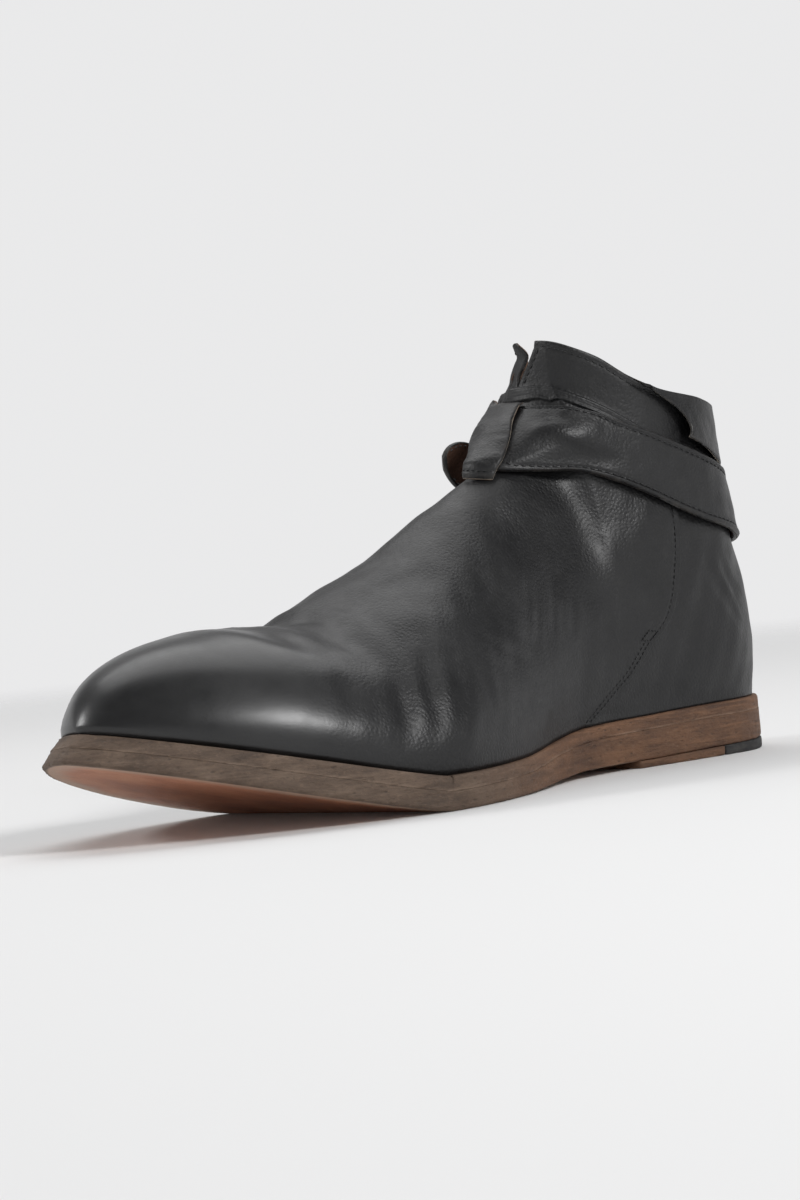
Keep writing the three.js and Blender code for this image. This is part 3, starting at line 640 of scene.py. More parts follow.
def sole_edge():
    """Stacked sole leather at its edge: brown fibre drawn out along the layers, greyer and dustier
    at the toe, redder at the waist and heel, with dark pits, pale rubs and faint layer lines."""
    m = Finish("sole_edge_leather")
    x = m.axis("X")
    layer = m.noise(0.006, 4, 0.6, m.stretched((0.22, 0.22, 2.6)), 0.4)
    blotch = m.noise(0.011, 4, 0.62, m.stretched((0.6, 0.6, 1.3)))
    fibre = m.noise(0.0011, 4, 0.72, m.stretched((0.6, 0.6, 1.4)))
    pits = m.cells(0.0032, place=m.stretched((0.7, 0.7, 1.6)))
    front = (x + (blotch - 0.5) * 0.05).step(-0.03, 0.055)
    worn = m.mark("rim")
    back = m.ramp(layer * 0.55 + blotch * 0.45, (0.30, (0.040, 0.017, 0.009)),
                  (0.47, (0.105, 0.050, 0.025)), (0.60, (0.165, 0.080, 0.040)),
                  (0.74, (0.25, 0.145, 0.085)))
    ahead = m.ramp(layer * 0.4 + blotch * 0.6, (0.28, (0.034, 0.022, 0.015)),
                   (0.46, (0.088, 0.057, 0.038)), (0.60, (0.135, 0.092, 0.064)),
                   (0.76, (0.24, 0.175, 0.13)))
    tone = m.mix(front, back, ahead)
    tone = m.mix(fibre.step(0.52, 0.74) * 0.34, tone, (0.23, 0.15, 0.10))
    tone = m.mix((1 - fibre).step(0.52, 0.75) * 0.55, tone, (0.032, 0.020, 0.013))
    tone = m.mix((1 - pits).step(0.78, 0.97) * blotch.step(0.4, 0.6) * 0.6, tone,
                 (0.022, 0.015, 0.011))
    tone = m.mix((1 - worn.step(0.1, 1.1)) * layer.step(0.35, 0.6) * 0.35, tone,
                 (0.30, 0.215, 0.155))
    line = m.mark("layer").step(0.0, 0.35)
    tone = m.mix((1 - line) * blotch.step(0.35, 0.6) * 0.30, tone, (0.030, 0.018, 0.012))
    height = layer * 0.9 + fibre * 0.45 + pits.step(0.0, 0.35) * 0.35 + blotch * 0.5
    normal = m.bump(height, 0.0007)
    return m.give(Base_Color=tone, Roughness=0.70 + (blotch - 0.5) * 0.25, Normal=normal)


def sole_bottom():
    """Tread face of the sole: orange tan, rubbed pale along its margin and greyer at the rim."""
    m = Finish("sole_bottom_leather")
    rim = m.mark("rim")
    cloud = m.noise(0.020, 4, 0.6)
    fibre = m.noise(0.0016, 4, 0.66, m.stretched((0.35, 1.0, 1.0)))
    tan = m.ramp(cloud * 0.7 + fibre * 0.3, (0.32, (0.27, 0.100, 0.052)),
                 (0.50, (0.42, 0.180, 0.100)), (0.70, (0.55, 0.29, 0.175)))
    edge = 1 - (rim + (cloud - 0.5) * 9.0).step(3.0, 10.0)
    tone = m.mix(edge * 0.85, tan, (0.40, 0.28, 0.205))
    tone = m.mix((1 - rim.step(0.3, 1.8)) * 0.8, tone, (0.125, 0.086, 0.060))
    tone = m.mix(fibre.step(0.55, 0.8) * 0.35, tone, (0.09, 0.045, 0.027))
    normal = m.bump(fibre * 0.7 + cloud * 0.8, 0.0005)
    return m.give(Base_Color=tone, Roughness=0.60 + (cloud - 0.5) * 0.3, Normal=normal)


def heel_rubber():
    """Black heel rubber, dusty and lightly scratched."""
    m = Finish("heel_rubber")
    dust = m.noise(0.005, 4, 0.65)
    scratch = m.noise(0.0018, 3, 0.6, m.stretched((0.2, 0.2, 2.0)))
    tone = m.mix((dust * 0.6 + scratch * 0.4).step(0.42, 0.7), (0.012, 0.012, 0.013),
                 (0.048, 0.045, 0.042))
    normal = m.bump(scratch + dust * 0.5, 0.0003)
    return m.give(Base_Color=tone, Roughness=0.78 + (dust - 0.5) * 0.2, Normal=normal)


def thread(name, colour, light):
    """Waxed thread with a fine twist."""
    m = Finish(name)
    twist = m.noise(0.0006, 2, 0.5)
    tone = m.mix(twist, colour, light)
    return m.give(Base_Color=tone, Roughness=0.55, Normal=m.bump(twist, 0.0001))


BLACK_LEATHER = black_leather("black_leather")
STRAP_LEATHER = black_leather("strap_leather", toe_polish=False)
DARK_EDGE = cut_edge("dark_cut_edge", (0.010, 0.009, 0.008), (0.050, 0.041, 0.034))
RAW_EDGE = cut_edge("raw_cut_edge", (0.12, 0.10, 0.08), (0.34, 0.29, 0.23))
LINING = lining("lining_leather", (0.070, 0.034, 0.019), (0.150, 0.082, 0.048))
STRAP_LINING = lining("strap_lining_leather", (0.060, 0.026, 0.015), (0.105, 0.050, 0.029))
SOLE_EDGE = sole_edge()
SOLE_BOTTOM = sole_bottom()
HEEL_RUBBER = heel_rubber()
THREAD = thread("black_thread", (0.004, 0.004, 0.0045), (0.016, 0.016, 0.017))
GREY_THREAD = thread("grey_thread", (0.045, 0.045, 0.05), (0.12, 0.12, 0.13))


def crossing(grid, distance, value):
    """Point of each column at which a distance that falls from row to row crosses a value."""
    above = distance > value
    i = np.clip(above.sum(0) - 1, 0, len(grid) - 2)
    c = np.arange(grid.shape[1])
    high, low = distance[i, c], distance[i + 1, c]
    t = np.clip((high - value) / np.maximum(high - low, 1e-9), 0, 1)[:, None]
    return grid[i, c] * (1 - t) + grid[i + 1, c] * t


# ---------------------------------------------------------------- upper
# The quarter seam: length x of its edge by height z
seam_x = curve([10, 16.9, 24.2, 32.6, 41.8, 44.8, 49.7, 57.6, 67.6, 82.9, 110],
               [112, 104.0, 92.8, 80.8, 70.9, 66.3, 61.7, 58.3, 55.3, 52.9, 52.0])
SEAM_SHARE = 0.32
HALF = 272
upper_rows = np.concatenate([
    np.linspace(0, 0.30, 44)[:-1], np.linspace(0.30, 0.60, 36)[:-1],
    np.linspace(0.60, 0.826, 26)[:-1], np.linspace(0.826, 0.876, 22)[:-1],
    np.linspace(0.876, 0.985, 17)[:-1], np.array([0.985, 0.991, 0.9955, 0.9985, 1]),
])
SLIT = int(np.argmin(abs(upper_rows - 0.876)))
_k = np.linspace(0, 1, HALF + 1)
_k = np.unique(np.concatenate([_k, SEAM_SHARE + np.array([-0.004, -0.0012, -0.0004, 0.0004,
                                                          0.0012, 0.003])]))
upper_share = np.concatenate([_k[::-1], _k[1:]])
upper_side = np.where(np.arange(len(upper_share)) < len(_k), 1.0, -1.0)


def seam_u(side, v):
    """Share u at which the quarter seam crosses row v."""
    row = np.minimum(v, 0.83)

    def behind(u):
        p = upper_point(side, u, body_row(side, u, row))
        return p[..., 0] < seam_x(p[..., 2])

    return halve(0.02, 0.7, np.shape(row), behind, 24)


def upper_face():
    """Outer face of the upper without its creases: the last's own function on a grid whose columns
    are drawn so that one of them follows the quarter seam, welded at the front below the slit."""
    v = upper_rows[:, None]
    side = upper_side[None, :]
    at = np.where(upper_side > 0, seam_u(1.0, upper_rows)[:, None],
                  seam_u(-1.0, upper_rows)[:, None])
    k = upper_share[None, :]
    behind = at * k / SEAM_SHARE
    ahead = at + (1 - at) * (k - SEAM_SHARE) / (1 - SEAM_SHARE)
    u = np.where(k <= SEAM_SHARE, behind, ahead)
    p = upper_point(side, u, body_row(side, u, v)) + front_set(side, u, v)
    c = (1 - np.cos(np.pi * u)) / 2
    gate = (1 - smooth(0.876, 0.9, v)) * (side < 0) * smooth(0.9, 1, c)
    p = p + (p[:, :1] - p[:, -1:]) * gate[..., None]
    p[:SLIT + 1, -1] = p[:SLIT + 1, 0]
    n = normals_of(p)
    joined = n[:SLIT + 1, 0] + n[:SLIT + 1, -1]
    joined /= np.linalg.norm(joined, axis=-1, keepdims=True)
    n[:SLIT + 1, 0] = joined
    n[:SLIT + 1, -1] = joined
    return p, n, u, v


base, out, u_at, v_at = upper_face()
column = np.arange(base.shape[1])
lateral = upper_side > 0
to_top = run_of(base)[-1] - run_of(base)
from_front = run_of(base, axis=1)
to_front = np.where(lateral, from_front, from_front[:, -1:] - from_front)
seam_columns = [int(np.argmin(abs(upper_share - SEAM_SHARE) + 9 * (upper_side != s)))
                for s in (1.0, -1.0)]
to_seam = np.where(lateral, from_front - from_front[:, seam_columns[0]][:, None],
                   from_front[:, seam_columns[1]][:, None] - from_front)

# Listed creases: side, share and row of three points, width and depth in millimetres
CREASES = [
    # broad folds of the ankle and the instep
    (1, (.640, .640), (.520, .400), (.470, .215), 11.0, 1.15),
    (1, (.415, .520), (.430, .330), (.455, .150), 9.0, 0.55),
    (1, (.760, .640), (.720, .460), (.640, .330), 12.0, -0.70),
    # fan of fine diagonals in the light of the waist
    (1, (.602, .205), (.560, .165), (.500, .120), 1.5, 0.34),
    (1, (.610, .185), (.572, .145), (.530, .112), 1.3, 0.26),
    (1, (.575, .220), (.540, .178), (.488, .142), 1.4, 0.28),
    (1, (.560, .245), (.520, .200), (.470, .165), 1.6, 0.22),
    # upright lines below the ankle
    (1, (.470, .255), (.452, .205), (.445, .150), 1.5, 0.34),
    (1, (.492, .265), (.476, .205), (.470, .145), 1.4, 0.30),
    (1, (.515, .260), (.498, .195), (.495, .140), 1.5, 0.26),
    (1, (.545, .300), (.520, .245), (.510, .190), 1.8, 0.24),
    # waves over the ball
    (1, (.690, .150), (.668, .100), (.650, .050), 4.2, 0.34),
    (1, (.650, .170), (.640, .108), (.622, .055), 2.8, 0.30),
    (1, (.622, .140), (.602, .100), (.600, .040), 3.2, 0.26),
    (1, (.592, .160), (.570, .105), (.566, .062), 2.0, 0.24),
    (1, (.556, .120), (.550, .085), (.552, .040), 2.4, 0.18),
    (1, (.740, .150), (.715, .105), (.690, .060), 5.0, 0.30),
    # break behind the toe box, over the top
    (1, (.985, .235), (.860, .200), (.765, .145), 6.5, 0.80),
    (1, (.950, .290), (.840, .245), (.730, .180), 4.0, 0.38),
    (1, (.950, .330), (.850, .290), (.750, .230), 3.4, 0.28),
    (-1, (.985, .235), (.860, .200), (.755, .140), 6.5, 0.80),
    (-1, (.950, .290), (.840, .240), (.730, .170), 4.0, 0.36),
    (-1, (.950, .330), (.840, .280), (.730, .210), 3.4, 0.28),
    # inner side, ball and ankle
    (-1, (.690, .150), (.668, .100), (.650, .050), 3.4, 0.45),
    (-1, (.640, .160), (.622, .105), (.610, .055), 2.8, 0.40),
    (-1, (.600, .180), (.575, .125), (.565, .070), 2.4, 0.30),
    (-1, (.640, .620), (.540, .400), (.480, .220), 10.0, 1.00),
    (-1, (.560, .300), (.520, .230), (.500, .160), 1.8, 0.30),
    (-1, (.500, .270), (.475, .205), (.465, .150), 1.6, 0.30),
    # fine slants over the heel
    (1, (.330, .470), (.262, .350), (.205, .250), 2.2, 0.26),
    (1, (.300, .500), (.240, .390), (.175, .300), 1.8, 0.22),
    (1, (.270, .440), (.225, .340), (.190, .270), 1.4, 0.20),
    (-1, (.330, .470), (.262, .350), (.205, .250), 2.2, 0.26),
    (-1, (.290, .480), (.230, .370), (.180, .290), 1.6, 0.22),
]


def creased(p):
    """Sum of the listed folds and two sizes of soft unevenness, which die out on the toe."""
    total = np.zeros(p.shape[:-1])
    for side, a, b, c, width, depth in CREASES:
        corners = np.array([a, b, c])
        u, v = corners[:, 0], corners[:, 1]
        knots = upper_point(float(side), u, body_row(float(side), u, v))
        knots += front_set(float(side), u, v)
        total += fold(p, path_through(knots), width, depth)
    toe = smooth(205, 250, p[..., 0])
    total += 0.30 * soft_noise(p, 11, 34) * (1 - 0.85 * toe)
    total += 0.10 * soft_noise(p, 12, 11) * (1 - 0.95 * toe)
    return total * smooth(0, 0.05, v_at) * (1 - smooth(0.80, 0.83, v_at) * 0.8)


def upper_relief():
    """Relief over the wall: creases, strip, seam step with its bead, stitch grooves, and edges."""
    below = 1 - smooth(0.828, 0.834, v_at)
    strip = smooth(0.831, 0.837, v_at) * (1 - smooth(0.8655, 0.8685, v_at))
    relief = creased(base)
    relief += strip * (STRIP_RISE + 0.12 * np.exp(-((v_at - 0.860) / 0.004) ** 2)
                       - 0.14 * np.exp(-((v_at - 0.846) / 0.003) ** 2))
    behind = np.where(to_seam >= 0, np.exp(-np.maximum(to_seam, 0) / 16), 0)
    ahead = np.where(to_seam < 0, np.exp(to_seam / 1.4), 0)
    groove = np.exp(-((to_seam + 2.3) / 0.55) ** 2)
    low = 1 - smooth(0.205, 0.215, v_at)
    second = np.exp(-((to_seam + 4.6) / 0.55) ** 2) * low
    relief += below * (-0.75 * behind * (1 - smooth(0.02, 0, v_at)) + 0.18 * ahead
                       - 0.28 * groove - 0.24 * second)
    collar = smooth(0.868, 0.88, v_at)
    relief -= 0.24 * collar * np.exp(-((to_top - 2.6) / 0.5) ** 2)
    front = collar * smooth(2.4, 3.4, to_top)
    relief -= 0.24 * front * lateral * np.exp(-((to_front - 2.6) / 0.5) ** 2)
    edge = np.maximum(rolled(to_top, 0.9), rolled(to_front, 0.9) * collar)
    return relief, edge


relief, edge_drop = upper_relief()
outer_face = base + out * (relief - edge_drop)[..., None]
inner_face = base - out * (WALL - edge_drop + 0.12 * soft_noise(base, 5, 18))[..., None]
inner_face[0, :, 2] = base[0, :, 2]


def upper_piece():
    """Closes the outer face and a lining with fewer rows into one shell, open at the slit."""
    rows, cols = base.shape[:2]
    keep = np.concatenate([np.arange(0, SLIT - 6, 4), np.arange(SLIT - 6, rows)])
    inside = inner_face[keep]
    o = np.arange(rows * cols).reshape(rows, cols)
    n = np.arange(len(keep) * cols).reshape(len(keep), cols) + rows * cols
    a, b = SLIT, int(np.where(keep == SLIT)[0][0])
    groups = [
        quads(o[:-1, :-1], o[:-1, 1:], o[1:, 1:], o[1:, :-1]),
        quads(n[:-1, :-1], n[1:, :-1], n[1:, 1:], n[:-1, 1:]),
        quads(o[-1, :-1], o[-1, 1:], n[-1, 1:], n[-1, :-1]),
        quads(o[0, :-1], n[0, :-1], n[0, 1:], o[0, 1:]),
        quads(o[a:-1, 0], o[a + 1:, 0], n[b + 1:, 0], n[b:-1, 0]),
        quads(o[a:-1, -1], n[b:-1, -1], n[b + 1:, -1], o[a + 1:, -1]),
    ]
    finish = np.repeat([0, 1, 2, 0, 2, 2], [len(g) for g in groups])
    both = np.concatenate([outer_face.reshape(-1, 3), inside.reshape(-1, 3)])
    rim = np.minimum(to_top, np.where(v_at > 0.872, to_front, 99))
    rim = np.concatenate([rim.ravel(), rim[keep].ravel()])
    return piece("upper_leather", both, np.concatenate(groups),
                 [BLACK_LEATHER, LINING, DARK_EDGE], finish, {"rim": np.minimum(rim, 20)},
                 ["upper"])


upper_piece()


def on_grid(grid, normals, distance, value):
    """Line and outward directions along a grid where a falling distance crosses a value."""
    return crossing(grid, distance, value), crossing(normals, distance, value)


def upper_stitching():
    """Stitches of the collar's top edge, the outer flap's front edge and the quarter seams."""
    rows = []
    top, up = on_grid(outer_face, out, to_top, 2.6)
    start = int(np.argmax(to_front[-4] > 2.6))
    end = len(column) - start
    rows.append(stitch_row(top[start:end], up[start:end]))
    flap = slice(SLIT, len(upper_rows) - 3)
    n_lat = len(_k)
    grid = outer_face[flap, :n_lat][:, ::-1].transpose(1, 0, 2)
    ways = out[flap, :n_lat][:, ::-1].transpose(1, 0, 2)
    near = to_front[flap, :n_lat][:, ::-1].T
    line, up = on_grid(grid, ways, near, 2.6)
    good = to_top[flap, 0] > 2.4
    rows.append(stitch_row(line[good], up[good]))
    for side, seam in zip((1, -1), seam_columns):
        if side > 0:
            pick = slice(0, seam + 1)
            far = -to_seam[:, pick]
            grid, ways = outer_face[:, pick], out[:, pick]
        else:
            pick = slice(seam, None)
            far = -to_seam[:, pick][:, ::-1]
            grid, ways = outer_face[:, pick][:, ::-1], out[:, pick][:, ::-1]
        last = int(np.argmin(abs(upper_rows - 0.826)))
        tack = int(np.argmin(abs(upper_rows - 0.208)))
        for value, until in ((2.3, last), (4.6, tack)):
            line, up = on_grid(grid[:until].transpose(1, 0, 2), ways[:until].transpose(1, 0, 2),
                               far[:until].T, value)
            rows.append(stitch_row(line[1:], up[1:], pitch=2.1, length=1.5, thick=0.42))
        lines = [on_grid(grid[tack - 1:tack + 4].transpose(1, 0, 2),
                         ways[tack - 1:tack + 4].transpose(1, 0, 2), far[tack - 1:tack + 4].T, d)
                 for d in (2.3, 7.0)]
        (a, up_a), (b, up_b) = lines
        box = np.array([a[0], a[-1], b[-1], b[0], a[0]])
        ways4 = np.array([up_a[0], up_a[-1], up_b[-1], up_b[0], up_a[0]])
        rows.append(stitch_row(box, ways4, pitch=1.5, length=1.2, thick=0.45, lift=0.15))
    return stitched("upper_stitching", rows, THREAD)


upper_stitching()


# ---------------------------------------------------------------- wrap strap
def spread_ends(count, share=0.6):
    """Places from -1 to 1 that lie closer together towards both ends."""
    t = np.linspace(-1, 1, count)
    return share * np.sin(np.pi / 2 * t) + (1 - share) * t


def close_piece(name, outer, inner, finishes, rim, stands_for, inner_rim=0.0):
    """Closes two grids into a sheet piece that carries each point's distance from its edge. Inner
    faces nearer to the edge than inner_rim take the outer finish, as turned edges do."""
    rows, cols = outer.shape[:2]
    faces, finish = sheet_faces(rows, cols)
    near = rim[:-1, :-1].ravel() < inner_rim
    count = (rows - 1) * (cols - 1)
    finish[count:2 * count] = np.where(near, 0, 1)
    both = np.concatenate([outer.reshape(-1, 3), inner.reshape(-1, 3)])
    marks = {"rim": np.concatenate([rim.ravel()] * 2)}
    return piece(name, both, faces, finishes, finish, marks, stands_for)


def unit(v):
    return v / np.linalg.norm(v, axis=-1, keepdims=True)


def between(values, axis, places, even=True):
    """Cubic through values one step apart along one axis, read at the given places: its slopes
    are the means of the two chords, or their harmonic means where the steps are uneven."""
    v = np.moveaxis(values, axis, 0)
    d = np.diff(v, axis=0)
    before, after = d[:-1], d[1:]
    same = before * after > 0
    harmonic = np.where(same, 2 * before * after / np.where(same, before + after, 1), 0)
    m = np.concatenate([d[:1], (before + after) / 2 if even else harmonic, d[-1:]])
    k = np.clip(np.floor(places).astype(int), 0, len(d) - 1)
    t = (places - k).reshape([-1] + [1] * (v.ndim - 1))
    low = v[k] * (2 * t ** 3 - 3 * t * t + 1) + m[k] * (t ** 3 - 2 * t * t + t)
    high = v[k + 1] * (3 * t * t - 2 * t ** 3) + m[k + 1] * (t ** 3 - t * t)
    return np.moveaxis(low + high, 0, axis)


def drawn_tight(p, n, axis, reaches):
    """Draws a sheet tight along one axis: where a point lies below the middle of the chord from
    `reach` places before it to `reach` places after it, it is lifted along n to that height."""
    at = np.arange(p.shape[axis])
    room = np.minimum(at, at[::-1])
    for reach in reaches:
        k = np.minimum(reach, room)
        chord = (np.take(p, at - k, axis) + np.take(p, at + k, axis)) / 2
        p = p + n * np.maximum(0, ((chord - p) * n).sum(-1, keepdims=True))
    return p


STRAP_COLS = 380
FREE_COLS = 60
STRAP_START = -0.13
STRAP_SPAN = 1.62
FREE_LENGTH = 47.2
STRAP_HALF = 9.6


def strap_line():
    """Middle face of the strap before its lift: strips between its two edge lines round the ankle
    from under the keeper to the inner side, drawn tight over hollows of the wall, and then the
    free end, which runs on forward, 47.2 mm long and 11.6 mm up, with a round tip."""
    w = np.linspace(-1, 1, 5)[:, None]
    t = STRAP_START + STRAP_SPAN * np.linspace(0, 1, 45)[None, :]
    side = np.where((t < 0) | (t > 1), -1.0, 1.0)
    u = np.where(t < 0, 1 + t, np.where(t > 1, t - 1, 1 - t))
    side, u, w = np.broadcast_arrays(side, u, w)

    def height(x):
        s = x / LENGTH
        return ((1 + w) * strap_top(s) + (1 - w) * strap_bottom(s)) / 2

    p = on_line(side, u, height)
    n = normals_of(p)
    p = drawn_tight(p, n, 0, (2, 1))
    for reaches in ((6, 4), (3, 2), (2, 1)):
        n = unit(n + np.roll(n, 1, 1) + np.roll(n, -1, 1))
        p = drawn_tight(p, n, 1, reaches)
        n = normals_of(p)
    w = spread_ends(43)[:, None]
    along = np.linspace(0, 44, STRAP_COLS)
    p, n = [between(between(v, 0, 2 + 2 * w[:, 0]), 1, along) for v in (p, n)]
    n = unit(n)
    middle = len(p) // 2
    k = np.linspace(0, 1, FREE_COLS + 1)[1:][None, :]
    tip = np.sqrt(np.maximum(0.02, 1 - np.clip((k - 0.72) / 0.28, 0, 1) ** 2))
    last = p[:, -1:]
    start = last[middle:middle + 1]
    blend = smooth(0, 0.4, k)
    x = start[..., 0] + FREE_LENGTH * k + 0 * w[:, :1]
    y = last[..., 1] + (start[..., 1] - last[..., 1]) * blend + 1.0 * k
    z = start[..., 2] + 11.6 * k + w[:, :1] * STRAP_HALF * tip
    free = np.stack([x, y, z], -1)
    way = np.array([0.06, -1, 0.05]) / np.linalg.norm([0.06, -1, 0.05])
    m = n[:, -1:] * (1 - blend[..., None]) + way * blend[..., None]
    m /= np.linalg.norm(m, axis=-1, keepdims=True)
    return np.concatenate([p, free], 1), np.concatenate([n, m], 1), w[:, :1], k


def edge_rows(grid, ways, rim, depth, shown, **size):
    """Rows of stitches a depth in from the two long edges of a band."""
    half = len(grid) // 2 + 1
    rows = []
    for turn in (1, -1):
        line, up = on_grid(*[a[::turn][:half][::-1] for a in (grid, ways, rim)], depth)
        rows.append(stitch_row(line[shown], up[shown], **size))
    return rows


def strap_piece():
    p, n, w, k = strap_line()
    half = np.linalg.norm(p[-1] - p[0], axis=-1)[None, :] / 2
    rim = (1 - abs(w)) * half
    end = np.full(p.shape[1], 99.0)
    end[STRAP_COLS:] = FREE_LENGTH * (1 - k[0])
    rim = np.minimum(rim, end[None, :])
    soft = 0.16 * soft_noise(p, 21, 26) + 0.05 * soft_noise(p, 22, 7)
    bead = 0.30 * np.exp(-((rim - 1.05) / 0.62) ** 2) - 0.34 * np.exp(-((rim - 2.15) / 0.42) ** 2)
    crown = 0.35 * (1 - w * w) - 0.2
    rise = STRAP_OFF + STRAP_THICK + bead + crown * 0.5 + soft - rolled(rim, 0.95)
    under = STRAP_OFF + rolled(rim, 0.8)
    outer = p + n * rise[..., None]
    inner = p + n * under[..., None]
    close_piece("strap_leather_band", outer, inner, [STRAP_LEATHER, STRAP_LINING, DARK_EDGE], rim,
                ["wrap_strap"], 0.9)
    shown = slice(2, STRAP_COLS + int(FREE_COLS * 0.90))
    stitched("strap_stitching", edge_rows(outer, n, rim, 2.15, shown), THREAD)
    turned = slice(STRAP_COLS - 20, STRAP_COLS + int(FREE_COLS * 0.95))
    rows = edge_rows(inner, -n, rim, 1.5, turned, pitch=2.4, length=1.4, thick=0.4)
    stitched("strap_end_stitching", rows, GREY_THREAD)


strap_piece()


# ---------------------------------------------------------------- keeper
def front_point(y, z):
    """Front of the upper at a sideways place y and a height z, found by halving the length."""
    y, z = np.broadcast_arrays(np.asarray(y, float), np.asarray(z, float))
    side = np.where(y < 0, -1.0, 1.0)

    def behind(x):
        past = x > COLLAR_FRONT * LENGTH
        gone = (ridge_height(np.maximum(x / LENGTH, COLLAR_FRONT + 1e-4)) < z) & past
        return ~(gone | (abs(upper_at(side, x, z)[..., 1]) < abs(y)))

    x = halve(45, 140, y.shape, behind, 40)
    return upper_at(side, x, z)


KEEPER_Z = [98.4, 99.1, 99.9, 101.0, 104.5, 108.7, 113.4, 117.9, 122.8, 123.6, 124.1, 124.6]
KEEPER_OFF = [1.0, 2.5, 4.0, 4.9, 4.9, 4.9, 4.9, 4.8, 4.6, 3.9, 3.1, 2.4]


def keeper_piece():
    """Band that climbs from the instep over the strap and back to the wall above it: its path is a
    table of heights and stand offs, straight across the strap."""
    z = np.array(KEEPER_Z)
    wide = KEEPER_WIDTH + KEEPER_WIDENS * (124 - z)
    right = 0.5 + 0.262 * (124 - z)
    tilt = 0.1 + 0.05 * smooth(-110, -99, -z)
    inward = wide[:, None] * np.linspace(1, 0, 7)
    p = front_point(right[:, None] - inward, z[:, None] + tilt[:, None] * inward)
    n = normals_of(p)
    share = np.clip((np.arange(12) - 3) / 5, 0, 1)[:, None, None]
    gap = (p[3:4] * (1 - share) + p[8:9] * share - p) * ((share > 0) & (share < 1))
    p = p + gap * ((gap * n).sum(-1, keepdims=True) > 0)
    p = p + n * np.array(KEEPER_OFF)[:, None, None]
    places = 3 + 3 * spread_ends(37)
    p, n = [between(between(v, 1, places), 0, np.linspace(0, 11, 100), False) for v in (p, n)]
    n = unit(n)
    across = run_of(p, axis=1)
    side_rim = np.minimum(across, across[:, -1:] - across)
    along = run_of(p)
    low_rim = along
    rim = np.minimum(side_rim, np.minimum(low_rim, along[-1:] - along))
    soft = 0.10 * soft_noise(p, 31, 14) + 0.05 * soft_noise(p, 32, 5)
    hem = -0.25 * np.exp(-((along - 2.2) / 0.4) ** 2) + 0.18 * np.exp(-((along - 1.0) / 0.7) ** 2)
    rise = KEEPER_THICK + soft + hem - rolled(rim, 0.75)
    under = rolled(rim, 0.5)
    outer = p + n * rise[..., None]
    inner = p + n * under[..., None]
    close_piece("keeper_band", outer, inner, [STRAP_LEATHER, STRAP_LINING, RAW_EDGE], rim,
                ["strap_keeper"])
    rows = []
    middle = slice(3, -3)
    line, up = on_grid(outer[::-1][-40:], n[::-1][-40:], along[::-1][-40:], 2.2)
    rows.append(stitch_row(line[middle], up[middle], pitch=2.0, length=1.4, thick=0.4))
    return stitched("keeper_stitching", rows, THREAD)


keeper_piece()


# ---------------------------------------------------------------- back collar piece
def back_piece():
    """Piece round the back of the collar, from over the strap to just over the collar's edge: its
    front edges slant forward and stand off the wall."""
    r = (spread_ends(37)[:, None] + 1) / 2
    j = np.linspace(-1, 1, 221)[None, :]
    side = np.where(j <= 0, 1.0, -1.0) + 0 * r
    u = abs(j) * (0.458 + 0.2 * r ** 3.5 + 0.022 * (1 - r) ** 8)
    low = upper_point(side, u, np.ones_like(u))
    s = low[..., 0] / LENGTH
    bottom = strap_top(s) + 2.6
    height = bottom + (low[..., 2] - 0.02 - bottom) * r
    p = on_line(side, u, lambda x: height)
    edge = smooth(0.62, 1, abs(j))
    p[..., 2] += (0.4 - 1.7 * edge) * r ** 3
    n = normals_of(p)
    off = 1.3 + edge * (3.7 - 3.6 * r)
    across = run_of(p, axis=1)
    side_rim = np.minimum(across, across[:, -1:] - across)
    up = run_of(p)
    rim = np.minimum(side_rim, np.minimum(up, up[-1:] - up))
    soft = 0.18 * soft_noise(p, 41, 20) + 0.05 * soft_noise(p, 42, 6)
    outer = p + n * (off + COLLAR_PIECE_THICK + soft - rolled(rim, 0.7))[..., None]
    inner = p + n * (off + rolled(rim, 0.5) + 0.2)[..., None]
    return close_piece("back_collar_leather", outer, inner,
                       [STRAP_LEATHER, STRAP_LEATHER, RAW_EDGE], rim, ["back_collar_piece"])


back_piece()


# ---------------------------------------------------------------- sole, heel and insole
def outline(width, start, end, count):
    """Closed outline of a plate: stations close together at both ends, out along the outer side
    from heel to toe and back along the inner side. Gives places and outward directions."""
    x = start + (end - start) * (1 - np.cos(np.pi * np.linspace(0, 1, count))) / 2
    line = np.concatenate([np.stack([x, width(x, 1.0)], -1),
                           np.stack([x, -width(x, -1.0)], -1)[::-1][1:-1]])
    way = np.roll(line, -1, axis=0) - np.roll(line, 1, axis=0)
    out = np.stack([-way[:, 1], way[:, 0]], -1)
    return line, out / np.maximum(np.linalg.norm(out, axis=1, keepdims=True), 1e-9)


def squared_outline(width, start, end, count):
    """Closed outline of a heel block: the sole's outline between two straight ends, with small
    rounded corners, at even steps."""
    x = start + (end - start) * (1 - np.cos(np.pi * np.linspace(0, 1, 90))) / 2
    line = np.concatenate([np.stack([x, width(x, 1.0)], -1),
                           np.stack([x, -width(x, -1.0)], -1)[::-1]])
    line = np.concatenate([line, line[:1]])
    arc = run_of(line)
    at = np.linspace(0, arc[-1], count + 1)[:-1]
    even = np.stack([np.interp(at, arc, line[:, k]) for k in range(2)], -1)
    for _ in range(3):
        even = 0.25 * np.roll(even, 1, axis=0) + 0.5 * even + 0.25 * np.roll(even, -1, axis=0)
    way = np.roll(even, -1, axis=0) - np.roll(even, 1, axis=0)
    out = np.stack([-way[:, 1], way[:, 0]], -1)
    return even, out / np.maximum(np.linalg.norm(out, axis=1, keepdims=True), 1e-9)


